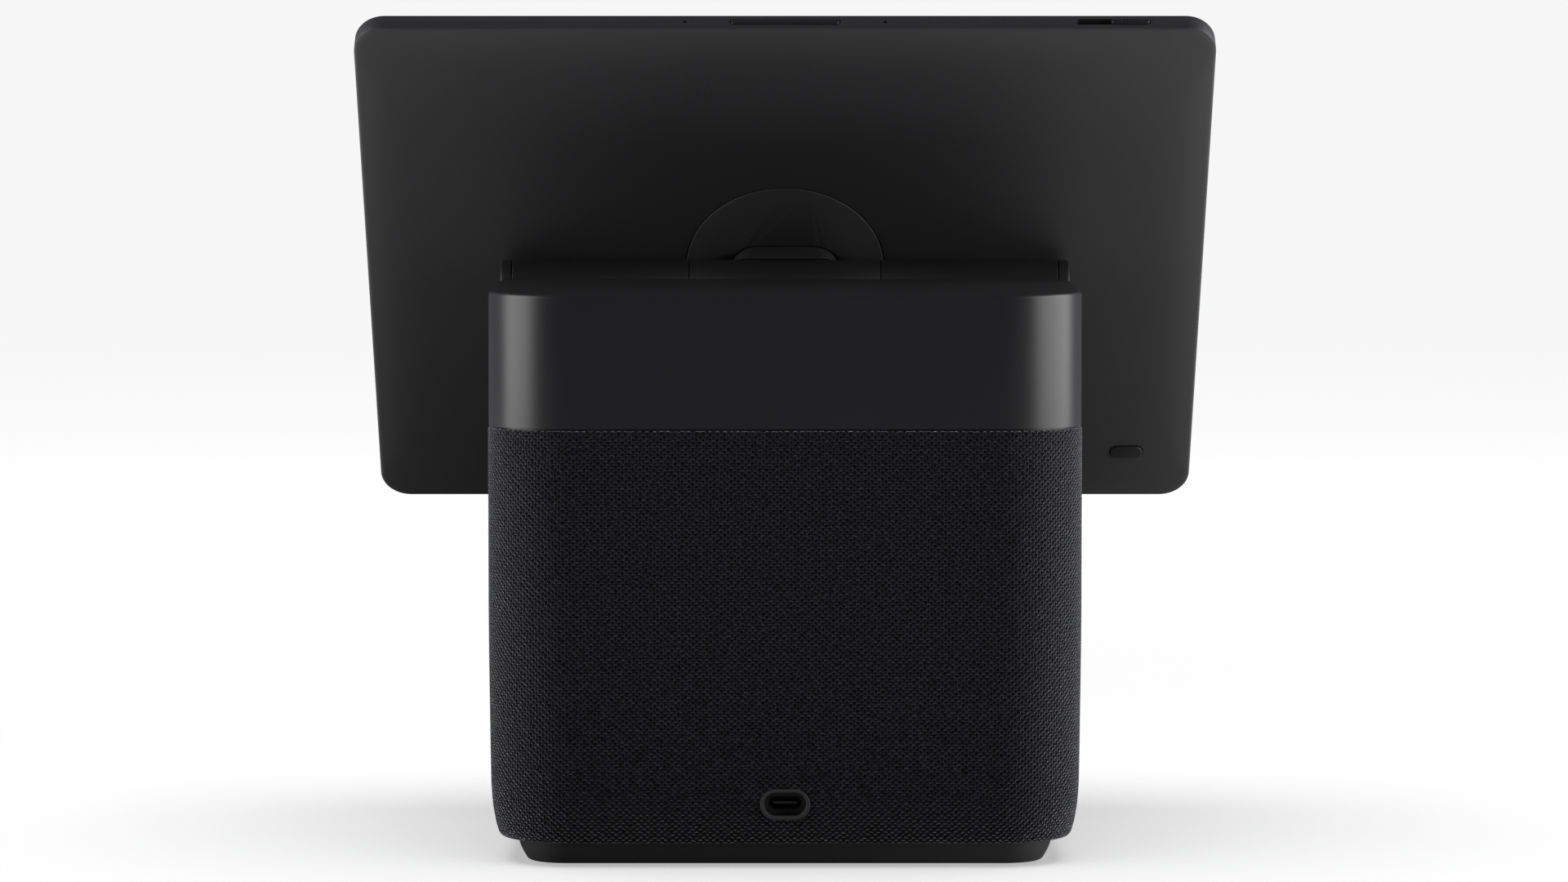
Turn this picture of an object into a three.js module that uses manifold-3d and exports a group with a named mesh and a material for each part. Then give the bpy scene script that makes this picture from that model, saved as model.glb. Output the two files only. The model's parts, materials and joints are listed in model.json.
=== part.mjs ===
// Smart speaker with a tilting touch display. Millimetres, +Z up, the screen faces -Y, and the origin is the
// centre of the rubber foot's underside. Left and right are those of a person facing the screen: left is -X.

import * as THREE from 'three';
import { mergeVertices } from 'three/addons/utils/BufferGeometryUtils.js';
import Module from 'manifold-3d';

const wasm = await Module();
wasm.setup();

// ---------------------------------------------------------------- driving dimensions

// Speaker block. Its plan is a rectangle with wide rear corners and tight front ones.
const BODY = { width: 169, depth: 104, frontCorner: 8, rearCorner: 25, centre: 0 };
const BODY_FRONT = -BODY.depth / 2;
const BODY_REAR = BODY.depth / 2;
const PLINTH_BOTTOM = 0.45;
const PLINTH = { width: BODY.width, depth: BODY.depth + 5.2, frontCorner: 12, rearCorner: 23, centre: 0 };
const SLEEVE_BOTTOM = 6.8;
const SLEEVE_TOP = 123.5;
const SLEEVE_THICKNESS = 1.3;
const CABINET_TOP = 123.2;
const CABINET_FLOOR = 12.8;
const CABINET_INSET = 1.5;
const CABINET_INNER_INSET = 4.7;
const COLLAR_BOTTOM = 124;
const COLLAR_TOP = 161.8;
const COLLAR_SLOPE = Math.tan(THREE.MathUtils.degToRad(1.25));
const COLLAR_INSET = 0.2;
const COLLAR_WALL = 2.6;
const COLLAR_EDGE = 1.2;
const GAP = 0.3;

// Hinge across the top front of the block.
const HINGE_Y = -44.1;
const HINGE_Z = 160.6;
const BARREL_RADIUS = 8.6;
const BARREL_BORE = 6.4;
const NOTCH_RADIUS = 9;
const TROUGH_RADIUS = 12;
const HINGE_END = 84.3;
const CHEEK_THICKNESS = 3;
const CHEEK_CLEARANCE = 0.4;
const CHEEK_KEY = { x: 82.2, width: 1.6, depth: 5.6, low: 15.4, high: 4.4 };
const BARREL_END = HINGE_END - CHEEK_THICKNESS - CHEEK_CLEARANCE;
const BARREL_GROOVE = { x: 28.4, width: 0.7, depth: 0.4 };
const SHAFT_RADIUS = 3;
const SHAFT_INNER_END = 52;
const TORQUE_SLEEVE = { bore: 3.2, radius: 6.1, near: 55, far: 79 };
const BRACKET = { length: 150, depth: 14, thickness: 1.8, y: HINGE_Y + 3, z: 140 };
const BRACKET_EAR = { x: 74, depth: 5.6, height: 6, z: 143.5 };
const SCREEN_LEAN = THREE.MathUtils.degToRad(36.9);

// Display, in the hinge's own turned frame: its back is towards +y and its plan lies in x and z.
const PANEL = { width: 250, depth: 178.2, frontCorner: 9, rearCorner: 9, centre: -2.5 };
const PANEL_TOP = PANEL.centre + PANEL.depth / 2;
const PANEL_BOTTOM = PANEL.centre - PANEL.depth / 2;
const GLASS_FRONT = 18.5;
const GLASS_BACK = 17.45;
const RIM_FRONT = 18.3;
const REBATE_BACK = 17.3;
const CREASE = 12.2;
const BACK_APEX = 10.6;
const COVER_WALL = 1.6;
const COVER_INNER = BACK_APEX + COVER_WALL;
const SIDE_MIDDLE = 15.2;
const GLASS_INSET = 1.2;
const REBATE_INSET = 0.9;

// Hub on the display's back.
const HUB_RADIUS = 29.5;
const HUB_FACE = 10.2;
const NECK_LENGTH = 32;
const NECK_HEIGHT = 15.4;

// Controls on the display.
const KEY_LENGTH = 31.5;
const KEY_WIDTH = 2.4;
const KEY_PROUD = 0.3;
const MICROPHONE_X = 29;
const MICROPHONE_HOLE = 0.55;
const SHUTTER_OUTER = -105.5;
const SHUTTER_KNOB = 11.1;
const SHUTTER_TRAVEL = 10.1;
const CAMERA_X = -89;
const CAMERA_Z = 77;
const MUTE_X = -105;
const MUTE_Z = PANEL_BOTTOM + 18.9;
const MUTE_LENGTH = 9.9;
const MUTE_HEIGHT = 4.6;
const MUTE_PROUD = 0.5;

// Power port at the back.
const PORT_Z = 18.3;
const PORT_LENGTH = 14.2;
const PORT_HEIGHT = 8.9;
const PORT_RIM = 1.15;
const PORT_FACE = BODY_REAR - 0.5;
const PORT_FLOOR = BODY_REAR - 5;

// Drivers. The woofer and the tweeters face the front, the passive radiators the sides.
const WOOFER_Z = 66;
const WOOFER_HOLE = 36.5;
const TWEETER_X = 58;
const TWEETER_Z = 92;
const TWEETER_HOLE = 13;
const RADIATOR_Y = -8;
const RADIATOR_Z = 62;
const RADIATOR_HOLE = 31;

// Fineness of the round shapes.
const CORNER_STEPS = 3;
const TURN_STEPS = 24;
const ROUND_STEPS = 32;
const HUB_STEPS = 40;
const DRIVER_STEPS = 16;
const SMALL_STEPS = 8;
const SMALLEST_CORNER = 1;

// ---------------------------------------------------------------- materials

function finish(colour, roughness, metalness = 0) {
  return new THREE.MeshStandardMaterial({ color: colour, roughness, metalness });
}

const FINISHES = {
  rubber: finish(0x141416, 0.9),
  mattePlastic: finish(0x1a1a1d, 0.65),
  satinPlastic: finish(0x26262a, 0.42),
  fabric: finish(0x1d1d20, 0.95),
  innerPlastic: finish(0x2b2c2e, 0.7),
  steel: finish(0x8a8d90, 0.35, 1),
  castAlloy: finish(0x6e7074, 0.5, 1),
  paintedAlloy: finish(0x1a1a1d, 0.5, 0.3),
  glass: finish(0x050507, 0.05),
  screen: finish(0x0b0b0e, 0.2),
  board: finish(0x12351f, 0.55),
  paper: finish(0x202022, 0.85),
  magnet: finish(0x3a3a3c, 0.6, 0.6),
  copper: finish(0x7a4a2a, 0.4, 0.8),
  lens: finish(0x08080c, 0.02),
};

// ---------------------------------------------------------------- solids

// A closed solid from a geometry, with shared corners merged and faces of no area dropped.
function solidOf(geometry) {
  const plain = geometry.clone();
  plain.deleteAttribute('normal');
  plain.deleteAttribute('uv');
  const merged = mergeVertices(plain, 1e-4);
  const index = merged.index.array;
  const kept = [];
  for (let i = 0; i < index.length; i += 3) {
    const [a, b, c] = [index[i], index[i + 1], index[i + 2]];
    if (a !== b && b !== c && c !== a) kept.push(a, b, c);
  }
  return new wasm.Manifold(new wasm.Mesh({
    numProp: 3,
    vertProperties: new Float32Array(merged.attributes.position.array),
    triVerts: new Uint32Array(kept),
  }));
}

function geometryOf(solid) {
  const mesh = solid.getMesh();
  const geometry = new THREE.BufferGeometry();
  geometry.setAttribute('position', new THREE.BufferAttribute(new Float32Array(mesh.vertProperties), 3));
  geometry.setIndex(new THREE.BufferAttribute(new Uint32Array(mesh.triVerts), 1));
  geometry.computeVertexNormals();
  return geometry;
}

function cut(solid, ...tools) {
  return tools.reduce((rest, tool) => rest.subtract(tool), solid);
}

function join(first, ...others) {
  return others.reduce((whole, other) => whole.add(other), first);
}

function part(name, solid, material) {
  const mesh = new THREE.Mesh(geometryOf(solid), material.clone());
  mesh.name = name;
  return mesh;
}

// ---------------------------------------------------------------- outlines and basic shapes

// The corner points of a plan, moved in by inset, anticlockwise from above.
function planPoints(plan, inset) {
  const right = plan.width / 2 - inset;
  const low = plan.centre - plan.depth / 2 + inset;
  const high = plan.centre + plan.depth / 2 - inset;
  const front = Math.max(plan.frontCorner - inset, SMALLEST_CORNER);
  const rear = Math.max(plan.rearCorner - inset, SMALLEST_CORNER);
  const outline = new THREE.Shape();
  outline.absarc(right - front, low + front, front, -Math.PI / 2, 0);
  outline.absarc(right - rear, high - rear, rear, 0, Math.PI / 2);
  outline.absarc(-right + rear, high - rear, rear, Math.PI / 2, Math.PI);
  outline.absarc(-right + front, low + front, front, Math.PI, 1.5 * Math.PI);
  return outline.getPoints(CORNER_STEPS);
}

// A solid whose level sections are insets of a plan. The profile is a list of [inset, height], rising.
// A closed profile makes a ring, and an open one is capped at both ends.
function stack(plan, profile, closed = false) {
  const rings = profile.map(([inset]) => planPoints(plan, inset));
  const count = rings[0].length;
  const positions = [];
  rings.forEach((ring, level) => ring.forEach((p) => positions.push(p.x, p.y, profile[level][1])));
  const index = [];
  const spans = closed ? rings.length : rings.length - 1;
  for (let level = 0; level < spans; level += 1) {
    const lower = level * count;
    const upper = ((level + 1) % rings.length) * count;
    for (let i = 0; i < count; i += 1) {
      const next = (i + 1) % count;
      index.push(lower + i, lower + next, upper + next, lower + i, upper + next, upper + i);
    }
  }
  if (!closed) {
    const top = (rings.length - 1) * count;
    THREE.ShapeUtils.triangulateShape(rings[0], []).forEach(([a, b, c]) => index.push(c, b, a));
    THREE.ShapeUtils.triangulateShape(rings.at(-1), []).forEach(([a, b, c]) => {
      index.push(top + a, top + b, top + c);
    });
  }
  const geometry = new THREE.BufferGeometry();
  geometry.setAttribute('position', new THREE.Float32BufferAttribute(positions, 3));
  geometry.setIndex(index);
  return geometry;
}

// A quarter turn of a profile from the side of an edge onto its top.
function roundedEdge(inset, height, radius, steps = 3) {
  const points = [];
  for (let i = 0; i <= steps; i += 1) {
    const angle = (i / steps) * (Math.PI / 2);
    points.push([inset + radius * (1 - Math.cos(angle)), height - radius * (1 - Math.sin(angle))]);
  }
  return points;
}

function box(width, depth, height, x, y, z) {
  return solidOf(new THREE.BoxGeometry(width, depth, height).translate(x, y, z));
}

function obroundShape(length, height) {
  const radius = height / 2;
  const reach = length / 2 - radius;
  const shape = new THREE.Shape();
  shape.absarc(reach, 0, radius, -Math.PI / 2, Math.PI / 2);
  shape.absarc(-reach, 0, radius, Math.PI / 2, 1.5 * Math.PI);
  return shape;
}

function prism(shape, low, high, curveSegments = 4) {
  const options = { depth: high - low, bevelEnabled: false, curveSegments };
  return new THREE.ExtrudeGeometry(shape, options).translate(0, 0, low);
}

// A flat piece of the display: the plan in x and z, the thickness along y, near and far measured from the
// hinge axis towards the screen.
function slab(shape, near, far, x = 0, z = 0) {
  return solidOf(prism(shape, near, far).rotateX(Math.PI / 2).translate(x, 0, z));
}

function slabBox(width, height, near, far, x, z) {
  return box(width, far - near, height, x, -(near + far) / 2, z);
}

// A turned piece. The profile is a list of [radius, height] round the +z axis, anticlockwise in that plane.
function turned(profile, steps = TURN_STEPS) {
  const points = profile.map(([radius, height]) => new THREE.Vector2(radius, height));
  if (profile[0][0] > 0) points.push(points[0].clone());
  return new THREE.LatheGeometry(points, steps).rotateX(Math.PI / 2);
}

function rod(radius, low, high, steps = TURN_STEPS) {
  return turned([[0, low], [radius, low], [radius, high], [0, high]], steps);
}

function alongX(geometry) {
  return solidOf(geometry.rotateY(Math.PI / 2));
}

// Turns a piece made round +z so that it faces the front, its z running backwards from the front.
function facingFront(geometry, x, y, z) {
  return solidOf(geometry.rotateX(-Math.PI / 2).translate(x, y, z));
}

// Turns a piece made round +z so that its z runs inwards from a side wall.
function facingSide(geometry, side, x, y, z) {
  return solidOf(geometry.rotateY(-side * Math.PI / 2).translate(side * x, y, z));
}

// ---------------------------------------------------------------- base

const FOOT_INSET = 18;
const FOOT_TOP = 1.4;
const RECESS_TOP = 1.5;
const PLINTH_FLOOR = 5;
const PLINTH_TOP = 8.3;
const SCREW_X = 58;
const SCREW_Y = 27;

function footPad() {
  return solidOf(stack(BODY, [[FOOT_INSET + 0.4, 0], [FOOT_INSET, 0.4], [FOOT_INSET, FOOT_TOP]]));
}

function basePlinth() {
  const outside = solidOf(stack(PLINTH, [
    [14, PLINTH_BOTTOM], [11.9, 0.55], [11.2, 0.9], [10.6, 1.8], [9.8, 3.2], [9.1, 4.8], [8.6, SLEEVE_BOTTOM],
    [8.6, PLINTH_TOP],
  ]));
  const hollow = solidOf(stack(BODY, [[14, PLINTH_FLOOR], [11.5, PLINTH_FLOOR + 1], [11.5, PLINTH_TOP + 1]]));
  const footRecess = solidOf(stack(BODY, [[FOOT_INSET - GAP, -1], [FOOT_INSET - GAP, RECESS_TOP]]));
  const holes = screwPlaces().flatMap(([x, y]) => [
    solidOf(rod(3.3, -1, 3.3, SMALL_STEPS).translate(x, y, 0)),
    solidOf(rod(1.8, 0, PLINTH_FLOOR + 1, SMALL_STEPS).translate(x, y, 0)),
  ]);
  return cut(outside, hollow, footRecess, ...holes);
}

function screwPlaces() {
  return [[-1, -1], [1, -1], [-1, 1], [1, 1]].map(([x, y]) => [x * SCREW_X, y * SCREW_Y]);
}

function baseScrew([x, y]) {
  const profile = [
    [0, 1.7], [2.9, 1.7], [2.9, 3.1], [1.4, 3.1], [1.4, CABINET_FLOOR - 0.4], [0, CABINET_FLOOR],
  ];
  return solidOf(turned(profile, SMALL_STEPS).translate(x, y, 0));
}

// ---------------------------------------------------------------- cabinet, sleeve and collar

function fabricSleeve() {
  const outer = [
    [5.2, SLEEVE_BOTTOM], [4.4, SLEEVE_BOTTOM], [3.5, 7.1], [2.8, 8], [2, 10.7], [1.15, 15], [0.6, 22],
    [0.4, 34], [0, 70], [0, SLEEVE_TOP],
  ];
  const inner = [
    [SLEEVE_THICKNESS, SLEEVE_TOP], [SLEEVE_THICKNESS, 70], [1.75, 34], [1.9, 22], [2.5, 15], [3.3, 11.2],
    [4.1, 8.9], [4.6, 8.1], [5.2, 8.1],
  ];
  const sleeve = solidOf(stack(BODY, [...outer, ...inner], true));
  return cut(sleeve, portPrism(PORT_LENGTH + GAP, PORT_HEIGHT + GAP, BODY_REAR - 3, BODY_REAR + 2));
}

function cabinet() {
  const outside = solidOf(stack(BODY, [
    [8.2, 8.6], [5.4, 8.6], [4.5, 9.3], [3.7, 11.4], [2.8, 15.1], [2.1, 22.1], [1.95, 34],
    [CABINET_INSET, 70], [CABINET_INSET, CABINET_TOP],
  ]));
  const inside = solidOf(stack(BODY, [
    [8, CABINET_FLOOR], [CABINET_INNER_INSET + 0.6, 18], [CABINET_INNER_INSET, 30],
    [CABINET_INNER_INSET, CABINET_TOP + 1],
  ]));
  const woofer = facingFront(rod(WOOFER_HOLE, 0, 10), 0, BODY_FRONT, WOOFER_Z);
  const tweeters = [-1, 1].map((side) => {
    return facingFront(rod(TWEETER_HOLE, 0, 10), side * TWEETER_X, BODY_FRONT, TWEETER_Z);
  });
  const radiators = [-1, 1].map((side) => {
    return facingSide(rod(RADIATOR_HOLE, 0, 10), side, BODY.width / 2, RADIATOR_Y, RADIATOR_Z);
  });
  const screwHoles = screwPlaces().map(([x, y]) => {
    return solidOf(rod(1.7, 5, CABINET_FLOOR + 1, SMALL_STEPS).translate(x, y, 0));
  });
  const port = portPrism(PORT_LENGTH + GAP, PORT_HEIGHT + GAP, BODY_REAR - 8, BODY_REAR + 2);
  return cut(outside, inside, woofer, ...tweeters, ...radiators, ...screwHoles, port);
}

const LID = { inset: 5, low: 119, high: 122.6 };
const WIRE_HOLE = { x: 50, y: 20, radius: 4 };
const GASKET = { inset: 5, width: 3, low: 117.8, high: 118.8 };

function acousticLid() {
  const plate = solidOf(stack(BODY, [[LID.inset, LID.low], [LID.inset, LID.high]]));
  const hole = rod(WIRE_HOLE.radius, LID.low - 1, LID.high + 1, SMALL_STEPS);
  return cut(plate, solidOf(hole.translate(WIRE_HOLE.x, WIRE_HOLE.y, 0)));
}

function lidGasket() {
  const { inset, width, low, high } = GASKET;
  const profile = [[inset, low], [inset, high], [inset + width, high], [inset + width, low]];
  return solidOf(stack(BODY, profile, true));
}

// The collar's top rises gently from the rear edge to the hinge.
function sloped(geometry) {
  const position = geometry.attributes.position;
  for (let i = 0; i < position.count; i += 1) {
    if (position.getZ(i) > HINGE_Z - TROUGH_RADIUS) {
      position.setZ(i, position.getZ(i) + (BODY_REAR - position.getY(i)) * COLLAR_SLOPE);
    }
  }
  return geometry;
}

function collar() {
  const outside = solidOf(sloped(stack(BODY, [
    [CABINET_INSET, CABINET_TOP + 0.1], [CABINET_INSET, COLLAR_BOTTOM], [COLLAR_INSET, COLLAR_BOTTOM],
    ...roundedEdge(COLLAR_INSET, COLLAR_TOP, COLLAR_EDGE),
  ])));
  const innerInset = COLLAR_INSET + COLLAR_WALL;
  const inside = solidOf(sloped(stack(BODY, [
    [innerInset, CABINET_TOP - 1], [innerInset, COLLAR_TOP - COLLAR_WALL],
  ])));
  const hinge = [0, HINGE_Y, HINGE_Z];
  const trough = alongX(rod(TROUGH_RADIUS, -BODY.width, BODY.width)).translate(hinge);
  const notch = alongX(rod(NOTCH_RADIUS, -BODY.width, BODY.width, ROUND_STEPS)).translate(hinge);
  const keySlots = [-1, 1].map((side) => {
    return box(CHEEK_KEY.width + 1, CHEEK_KEY.depth + 1, 20, side * CHEEK_KEY.x, HINGE_Y, HINGE_Z - 10);
  });
  // The front is open to the notch where the neck swings down.
  const neckDrop = NECK_HEIGHT / 2 + 2 * GAP;
  const neckWindow = box(NECK_LENGTH + 2, 8, 20, 0, HINGE_Y - 6.8, HINGE_Z - neckDrop + 10);
  return cut(outside, cut(inside, trough), notch, ...keySlots, neckWindow);
}

// ---------------------------------------------------------------- hinge, the fixed half

function hingeCheek(side) {
  const inner = HINGE_END - CHEEK_THICKNESS;
  const disc = turned([
    [0, inner], [BARREL_RADIUS, inner], [BARREL_RADIUS, HINGE_END - 0.5], [BARREL_RADIUS - 0.5, HINGE_END],
    [0, HINGE_END],
  ], ROUND_STEPS);
  const keyHeight = CHEEK_KEY.low - CHEEK_KEY.high;
  const keyMiddle = -(CHEEK_KEY.low + CHEEK_KEY.high) / 2;
  const key = box(CHEEK_KEY.width, CHEEK_KEY.depth, keyHeight, side * CHEEK_KEY.x, 0, keyMiddle);
  return join(alongX(disc.rotateY(side < 0 ? Math.PI : 0)), key).translate([0, HINGE_Y, HINGE_Z]);
}

function hingeShaft(side) {
  const shaft = alongX(rod(SHAFT_RADIUS, SHAFT_INNER_END, HINGE_END - CHEEK_THICKNESS - 0.1));
  const placed = side < 0 ? shaft.rotate([0, 0, 180]) : shaft;
  return placed.translate([0, HINGE_Y, HINGE_Z]);
}

function hingeBracket() {
  const { length, depth, thickness, y, z } = BRACKET;
  const plate = box(length, depth, thickness, 0, y, z);
  const ears = [-1, 1].map((side) => {
    return box(thickness, BRACKET_EAR.depth, BRACKET_EAR.height, side * BRACKET_EAR.x, y, BRACKET_EAR.z);
  });
  return join(plate, ...ears);
}

// ---------------------------------------------------------------- drivers

const WOOFER_FACE = BODY_FRONT + CABINET_INNER_INSET + 0.2;
const RADIATOR_FACE = BODY.width / 2 - CABINET_INNER_INSET - 0.2;

function wooferBasket() {
  const profile = [
    [33.8, 0], [39, 0], [39, 2], [35.5, 2.4], [21.5, 22], [21.5, 24], [13.2, 24], [13.2, 22.6], [19.8, 22.6],
    [33.8, 1.4],
  ];
  return facingFront(turned(profile, DRIVER_STEPS), 0, WOOFER_FACE, WOOFER_Z);
}

function wooferMagnet() {
  const profile = [[0, 14.5], [10.4, 14.5], [10.4, 24.3], [24, 24.3], [24, 38], [0, 38]];
  return facingFront(turned(profile, DRIVER_STEPS), 0, WOOFER_FACE, WOOFER_Z);
}

// A half-round rubber roll between two radii, with a flat lip outside it. It bulges towards lower z.
function rollSurround(innerRadius, outerRadius, lipRadius, thickness, base) {
  const middle = (innerRadius + outerRadius) / 2;
  const reach = (outerRadius - innerRadius) / 2;
  const steps = 4;
  const front = [];
  const back = [];
  for (let i = 0; i <= steps; i += 1) {
    const angle = Math.PI * (1 - i / steps);
    const rise = reach * 0.7 * Math.sin(angle);
    front.push([middle + reach * Math.cos(angle), base - rise]);
    back.push([middle + (reach - thickness) * Math.cos(angle), base + thickness - rise]);
  }
  const lip = [[lipRadius, base], [lipRadius, base + thickness]];
  return turned([...front, ...lip, ...back.reverse()], DRIVER_STEPS);
}

function wooferSurround() {
  return facingFront(rollSurround(30.5, 33.4, 36, 0.5, -0.6), 0, WOOFER_FACE, WOOFER_Z);
}

function wooferCone() {
  const profile = [
    [0, 6], [5, 6.6], [11.4, 10.4], [11.4, 19], [12.2, 19], [12.2, 9.6], [30.1, 1], [30.1, 0.1], [29.5, 0.1],
    [10.2, 8.2], [5, 5.6], [0, 5],
  ];
  return facingFront(turned([...profile].reverse(), DRIVER_STEPS), 0, WOOFER_FACE, WOOFER_Z);
}

function tweeterHousing(side) {
  const profile = [[10, 0], [16, 0], [16, 2], [13.4, 2], [13.4, 14], [0, 14], [0, 11], [10, 11]];
  return facingFront(turnedFromAxis(profile), side * TWEETER_X, WOOFER_FACE, TWEETER_Z);
}

// A turned cup whose profile leaves the axis, goes round and comes back to it.
function turnedFromAxis(profile) {
  const start = profile.findIndex(([radius]) => radius === 0) + 1;
  return turned([...profile.slice(start), ...profile.slice(0, start)], DRIVER_STEPS);
}

function tweeterDome(side) {
  const profile = [[0, 0.4], [4, 1.2], [7.4, 3.6], [9.2, 6.4], [9.2, 7.4], [0, 7.4]];
  return facingFront(turned(profile, DRIVER_STEPS), side * TWEETER_X, WOOFER_FACE, TWEETER_Z);
}

function radiatorSurround(side) {
  return facingSide(rollSurround(24.5, 30, 34.5, 0.8, 0.8), side, RADIATOR_FACE, RADIATOR_Y, RADIATOR_Z);
}

function radiatorPlate(side) {
  const profile = [[0, 1.2], [23.4, 1.2], [24, 1.8], [24, 3.4], [0, 3.4]];
  return facingSide(turned(profile, DRIVER_STEPS), side, RADIATOR_FACE, RADIATOR_Y, RADIATOR_Z);
}

// ---------------------------------------------------------------- electronics in the block

const BOARD_Z = 127;
const BOARD = { width: 112, depth: 58, thickness: 1.6, y: 12 };
const COIL = { size: 9, height: 6, y: -8, places: [-40, -25, 25, 40] };
const CHIP = { size: 16, height: 1.4, y: 20 };
const FIN = { count: 7, pitch: 5, base: 2, height: 12, length: 28 };

function amplifierBoard() {
  const board = box(BOARD.width, BOARD.depth, BOARD.thickness, 0, BOARD.y, BOARD_Z);
  const coils = COIL.places.map((x) => box(COIL.size, COIL.size, COIL.height, x, COIL.y, BOARD_Z + 3.5));
  const chip = box(CHIP.size, CHIP.size, CHIP.height, 0, CHIP.y, BOARD_Z + 1.4);
  return join(board, ...coils, chip);
}

function heatSink() {
  const { count, pitch, base, height, length } = FIN;
  const shape = new THREE.Shape();
  const left = -(count * pitch) / 2;
  shape.moveTo(left, 0);
  shape.lineTo(-left, 0);
  for (let i = count - 1; i >= 0; i -= 1) {
    const x = left + i * pitch;
    shape.lineTo(x + pitch, base);
    shape.lineTo(x + pitch * 0.7, base);
    shape.lineTo(x + pitch * 0.6, height);
    shape.lineTo(x + pitch * 0.4, height);
    shape.lineTo(x + pitch * 0.3, base);
  }
  shape.lineTo(left, base);
  const fins = prism(shape, -length / 2, length / 2).rotateX(Math.PI / 2);
  return solidOf(fins.translate(0, CHIP.y, BOARD_Z + 2.4));
}

// ---------------------------------------------------------------- power port

const SOCKET = { length: 9.3, height: 3.6 };
const SHELL = { length: 8.94, height: 3.2, wall: 0.3, depth: 6.6 };
const TONGUE = { length: 6.7, depth: 5, height: 0.7 };

function portPrism(length, height, near, far) {
  const geometry = prism(obroundShape(length, height), -far, -near, 6);
  return solidOf(geometry.rotateX(Math.PI / 2).translate(0, 0, PORT_Z));
}

function portBezel() {
  const outside = portPrism(PORT_LENGTH, PORT_HEIGHT, PORT_FLOOR - 1.5, PORT_FACE);
  const recess = portPrism(PORT_LENGTH - 2 * PORT_RIM, PORT_HEIGHT - 2 * PORT_RIM, PORT_FLOOR, BODY_REAR + 1);
  const socket = portPrism(SOCKET.length, SOCKET.height, PORT_FLOOR - 2, PORT_FLOOR + 1);
  return cut(outside, recess, socket);
}

function portShell() {
  const { length, height, wall, depth } = SHELL;
  const outside = portPrism(length, height, PORT_FLOOR - depth, PORT_FLOOR + 0.1);
  const back = PORT_FLOOR - depth + 2 * wall;
  const inside = portPrism(length - 2 * wall, height - 2 * wall, back, PORT_FLOOR + 1);
  return cut(outside, inside);
}

function portTongue() {
  return box(TONGUE.length, TONGUE.depth, TONGUE.height, 0, PORT_FLOOR - 3.2, PORT_Z);
}

// ---------------------------------------------------------------- hinge, the turning half

// The barrel has a fine groove in line with each side of the hub, and a hole behind the neck for the cable.
function hingeBarrel() {
  const groove = (x) => [
    [BARREL_RADIUS, x - BARREL_GROOVE.width / 2], [BARREL_RADIUS - BARREL_GROOVE.depth, x],
    [BARREL_RADIUS, x + BARREL_GROOVE.width / 2],
  ];
  const tube = turned([
    [BARREL_BORE, -BARREL_END], [BARREL_RADIUS, -BARREL_END], ...groove(-BARREL_GROOVE.x),
    ...groove(BARREL_GROOVE.x), [BARREL_RADIUS, BARREL_END], [BARREL_BORE, BARREL_END],
  ], ROUND_STEPS);
  return cut(alongX(tube), slabBox(CABLE_HOLE, CABLE_HOLE, 4, 10, 0, 0));
}

function torqueSleeve(side) {
  const { bore, radius, near, far } = TORQUE_SLEEVE;
  const sleeve = alongX(turned([[bore, near], [radius, near], [radius, far], [bore, far]]));
  return side < 0 ? sleeve.rotate([0, 0, 180]) : sleeve;
}

const FLANGE_NEAR = 12.7;
const FLANGE_FAR = 14;
const FLANGE = { length: 48, height: 17 };
const NECK_SCREW = { x: 20, z: 5.4, hole: 3.4, counterbore: 5.8 };
const CABLE_CHANNEL = 3.6;
const CABLE_HOLE = 5;

function neckScrewPlaces() {
  return [[-1, -1], [1, -1], [-1, 1], [1, 1]].map(([x, z]) => [x * NECK_SCREW.x, z * NECK_SCREW.z]);
}

function hingeNeck() {
  const boss = slab(obroundShape(NECK_LENGTH, NECK_HEIGHT), 2, FLANGE_NEAR + 0.5);
  const flange = slabBox(FLANGE.length, FLANGE.height, FLANGE_NEAR, FLANGE_FAR, 0, 0);
  const saddle = alongX(rod(BARREL_RADIUS + GAP, -HUB_RADIUS, HUB_RADIUS, ROUND_STEPS));
  const channel = slabBox(CABLE_CHANNEL, CABLE_CHANNEL, 0, FLANGE_NEAR, 0, 0);
  const entry = slabBox(CABLE_CHANNEL, 12, 11, FLANGE_NEAR, 0, 4.2);
  const round = (width) => obroundShape(width, width);
  const holes = neckScrewPlaces().map(([x, z]) => slab(round(NECK_SCREW.hole), 10, 15, x, z));
  const counterbores = neckScrewPlaces().map(([x, z]) => {
    return slab(round(NECK_SCREW.counterbore), 9, FLANGE_NEAR, x, z);
  });
  const narrowed = cut(boss, ...counterbores);
  return cut(join(narrowed, flange), saddle, channel, entry, ...holes);
}

function neckScrew([x, z]) {
  const profile = [[0, 11.6], [2.3, 11.6], [2.3, 12.5], [1.3, 12.5], [1.3, 14], [0, 14]];
  return solidOf(turned(profile, SMALL_STEPS).rotateX(Math.PI / 2).translate(x, 0, z));
}

function hubDisc() {
  const profile = [
    [0, HUB_FACE], [HUB_RADIUS - 0.4, HUB_FACE], [HUB_RADIUS, HUB_FACE + 0.4], [HUB_RADIUS, 12.1],
    [27.6, 12.1], [27.6, 11.3], [0, 11.3],
  ];
  const disc = solidOf(turned(profile, HUB_STEPS).rotateX(Math.PI / 2));
  return cut(disc, slab(obroundShape(NECK_LENGTH + 2 * GAP, NECK_HEIGHT + 2 * GAP), 9, 13));
}

// ---------------------------------------------------------------- display housing

// A flat piece of the display made as a stack of insets of the panel's plan.
function panelStack(profile, closed = false) {
  return solidOf(stack(PANEL, profile, closed).rotateX(Math.PI / 2));
}

function sideSlot(length, width, x) {
  return box(length, width, 4, x, -SIDE_MIDDLE, PANEL_TOP - 1);
}

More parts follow.
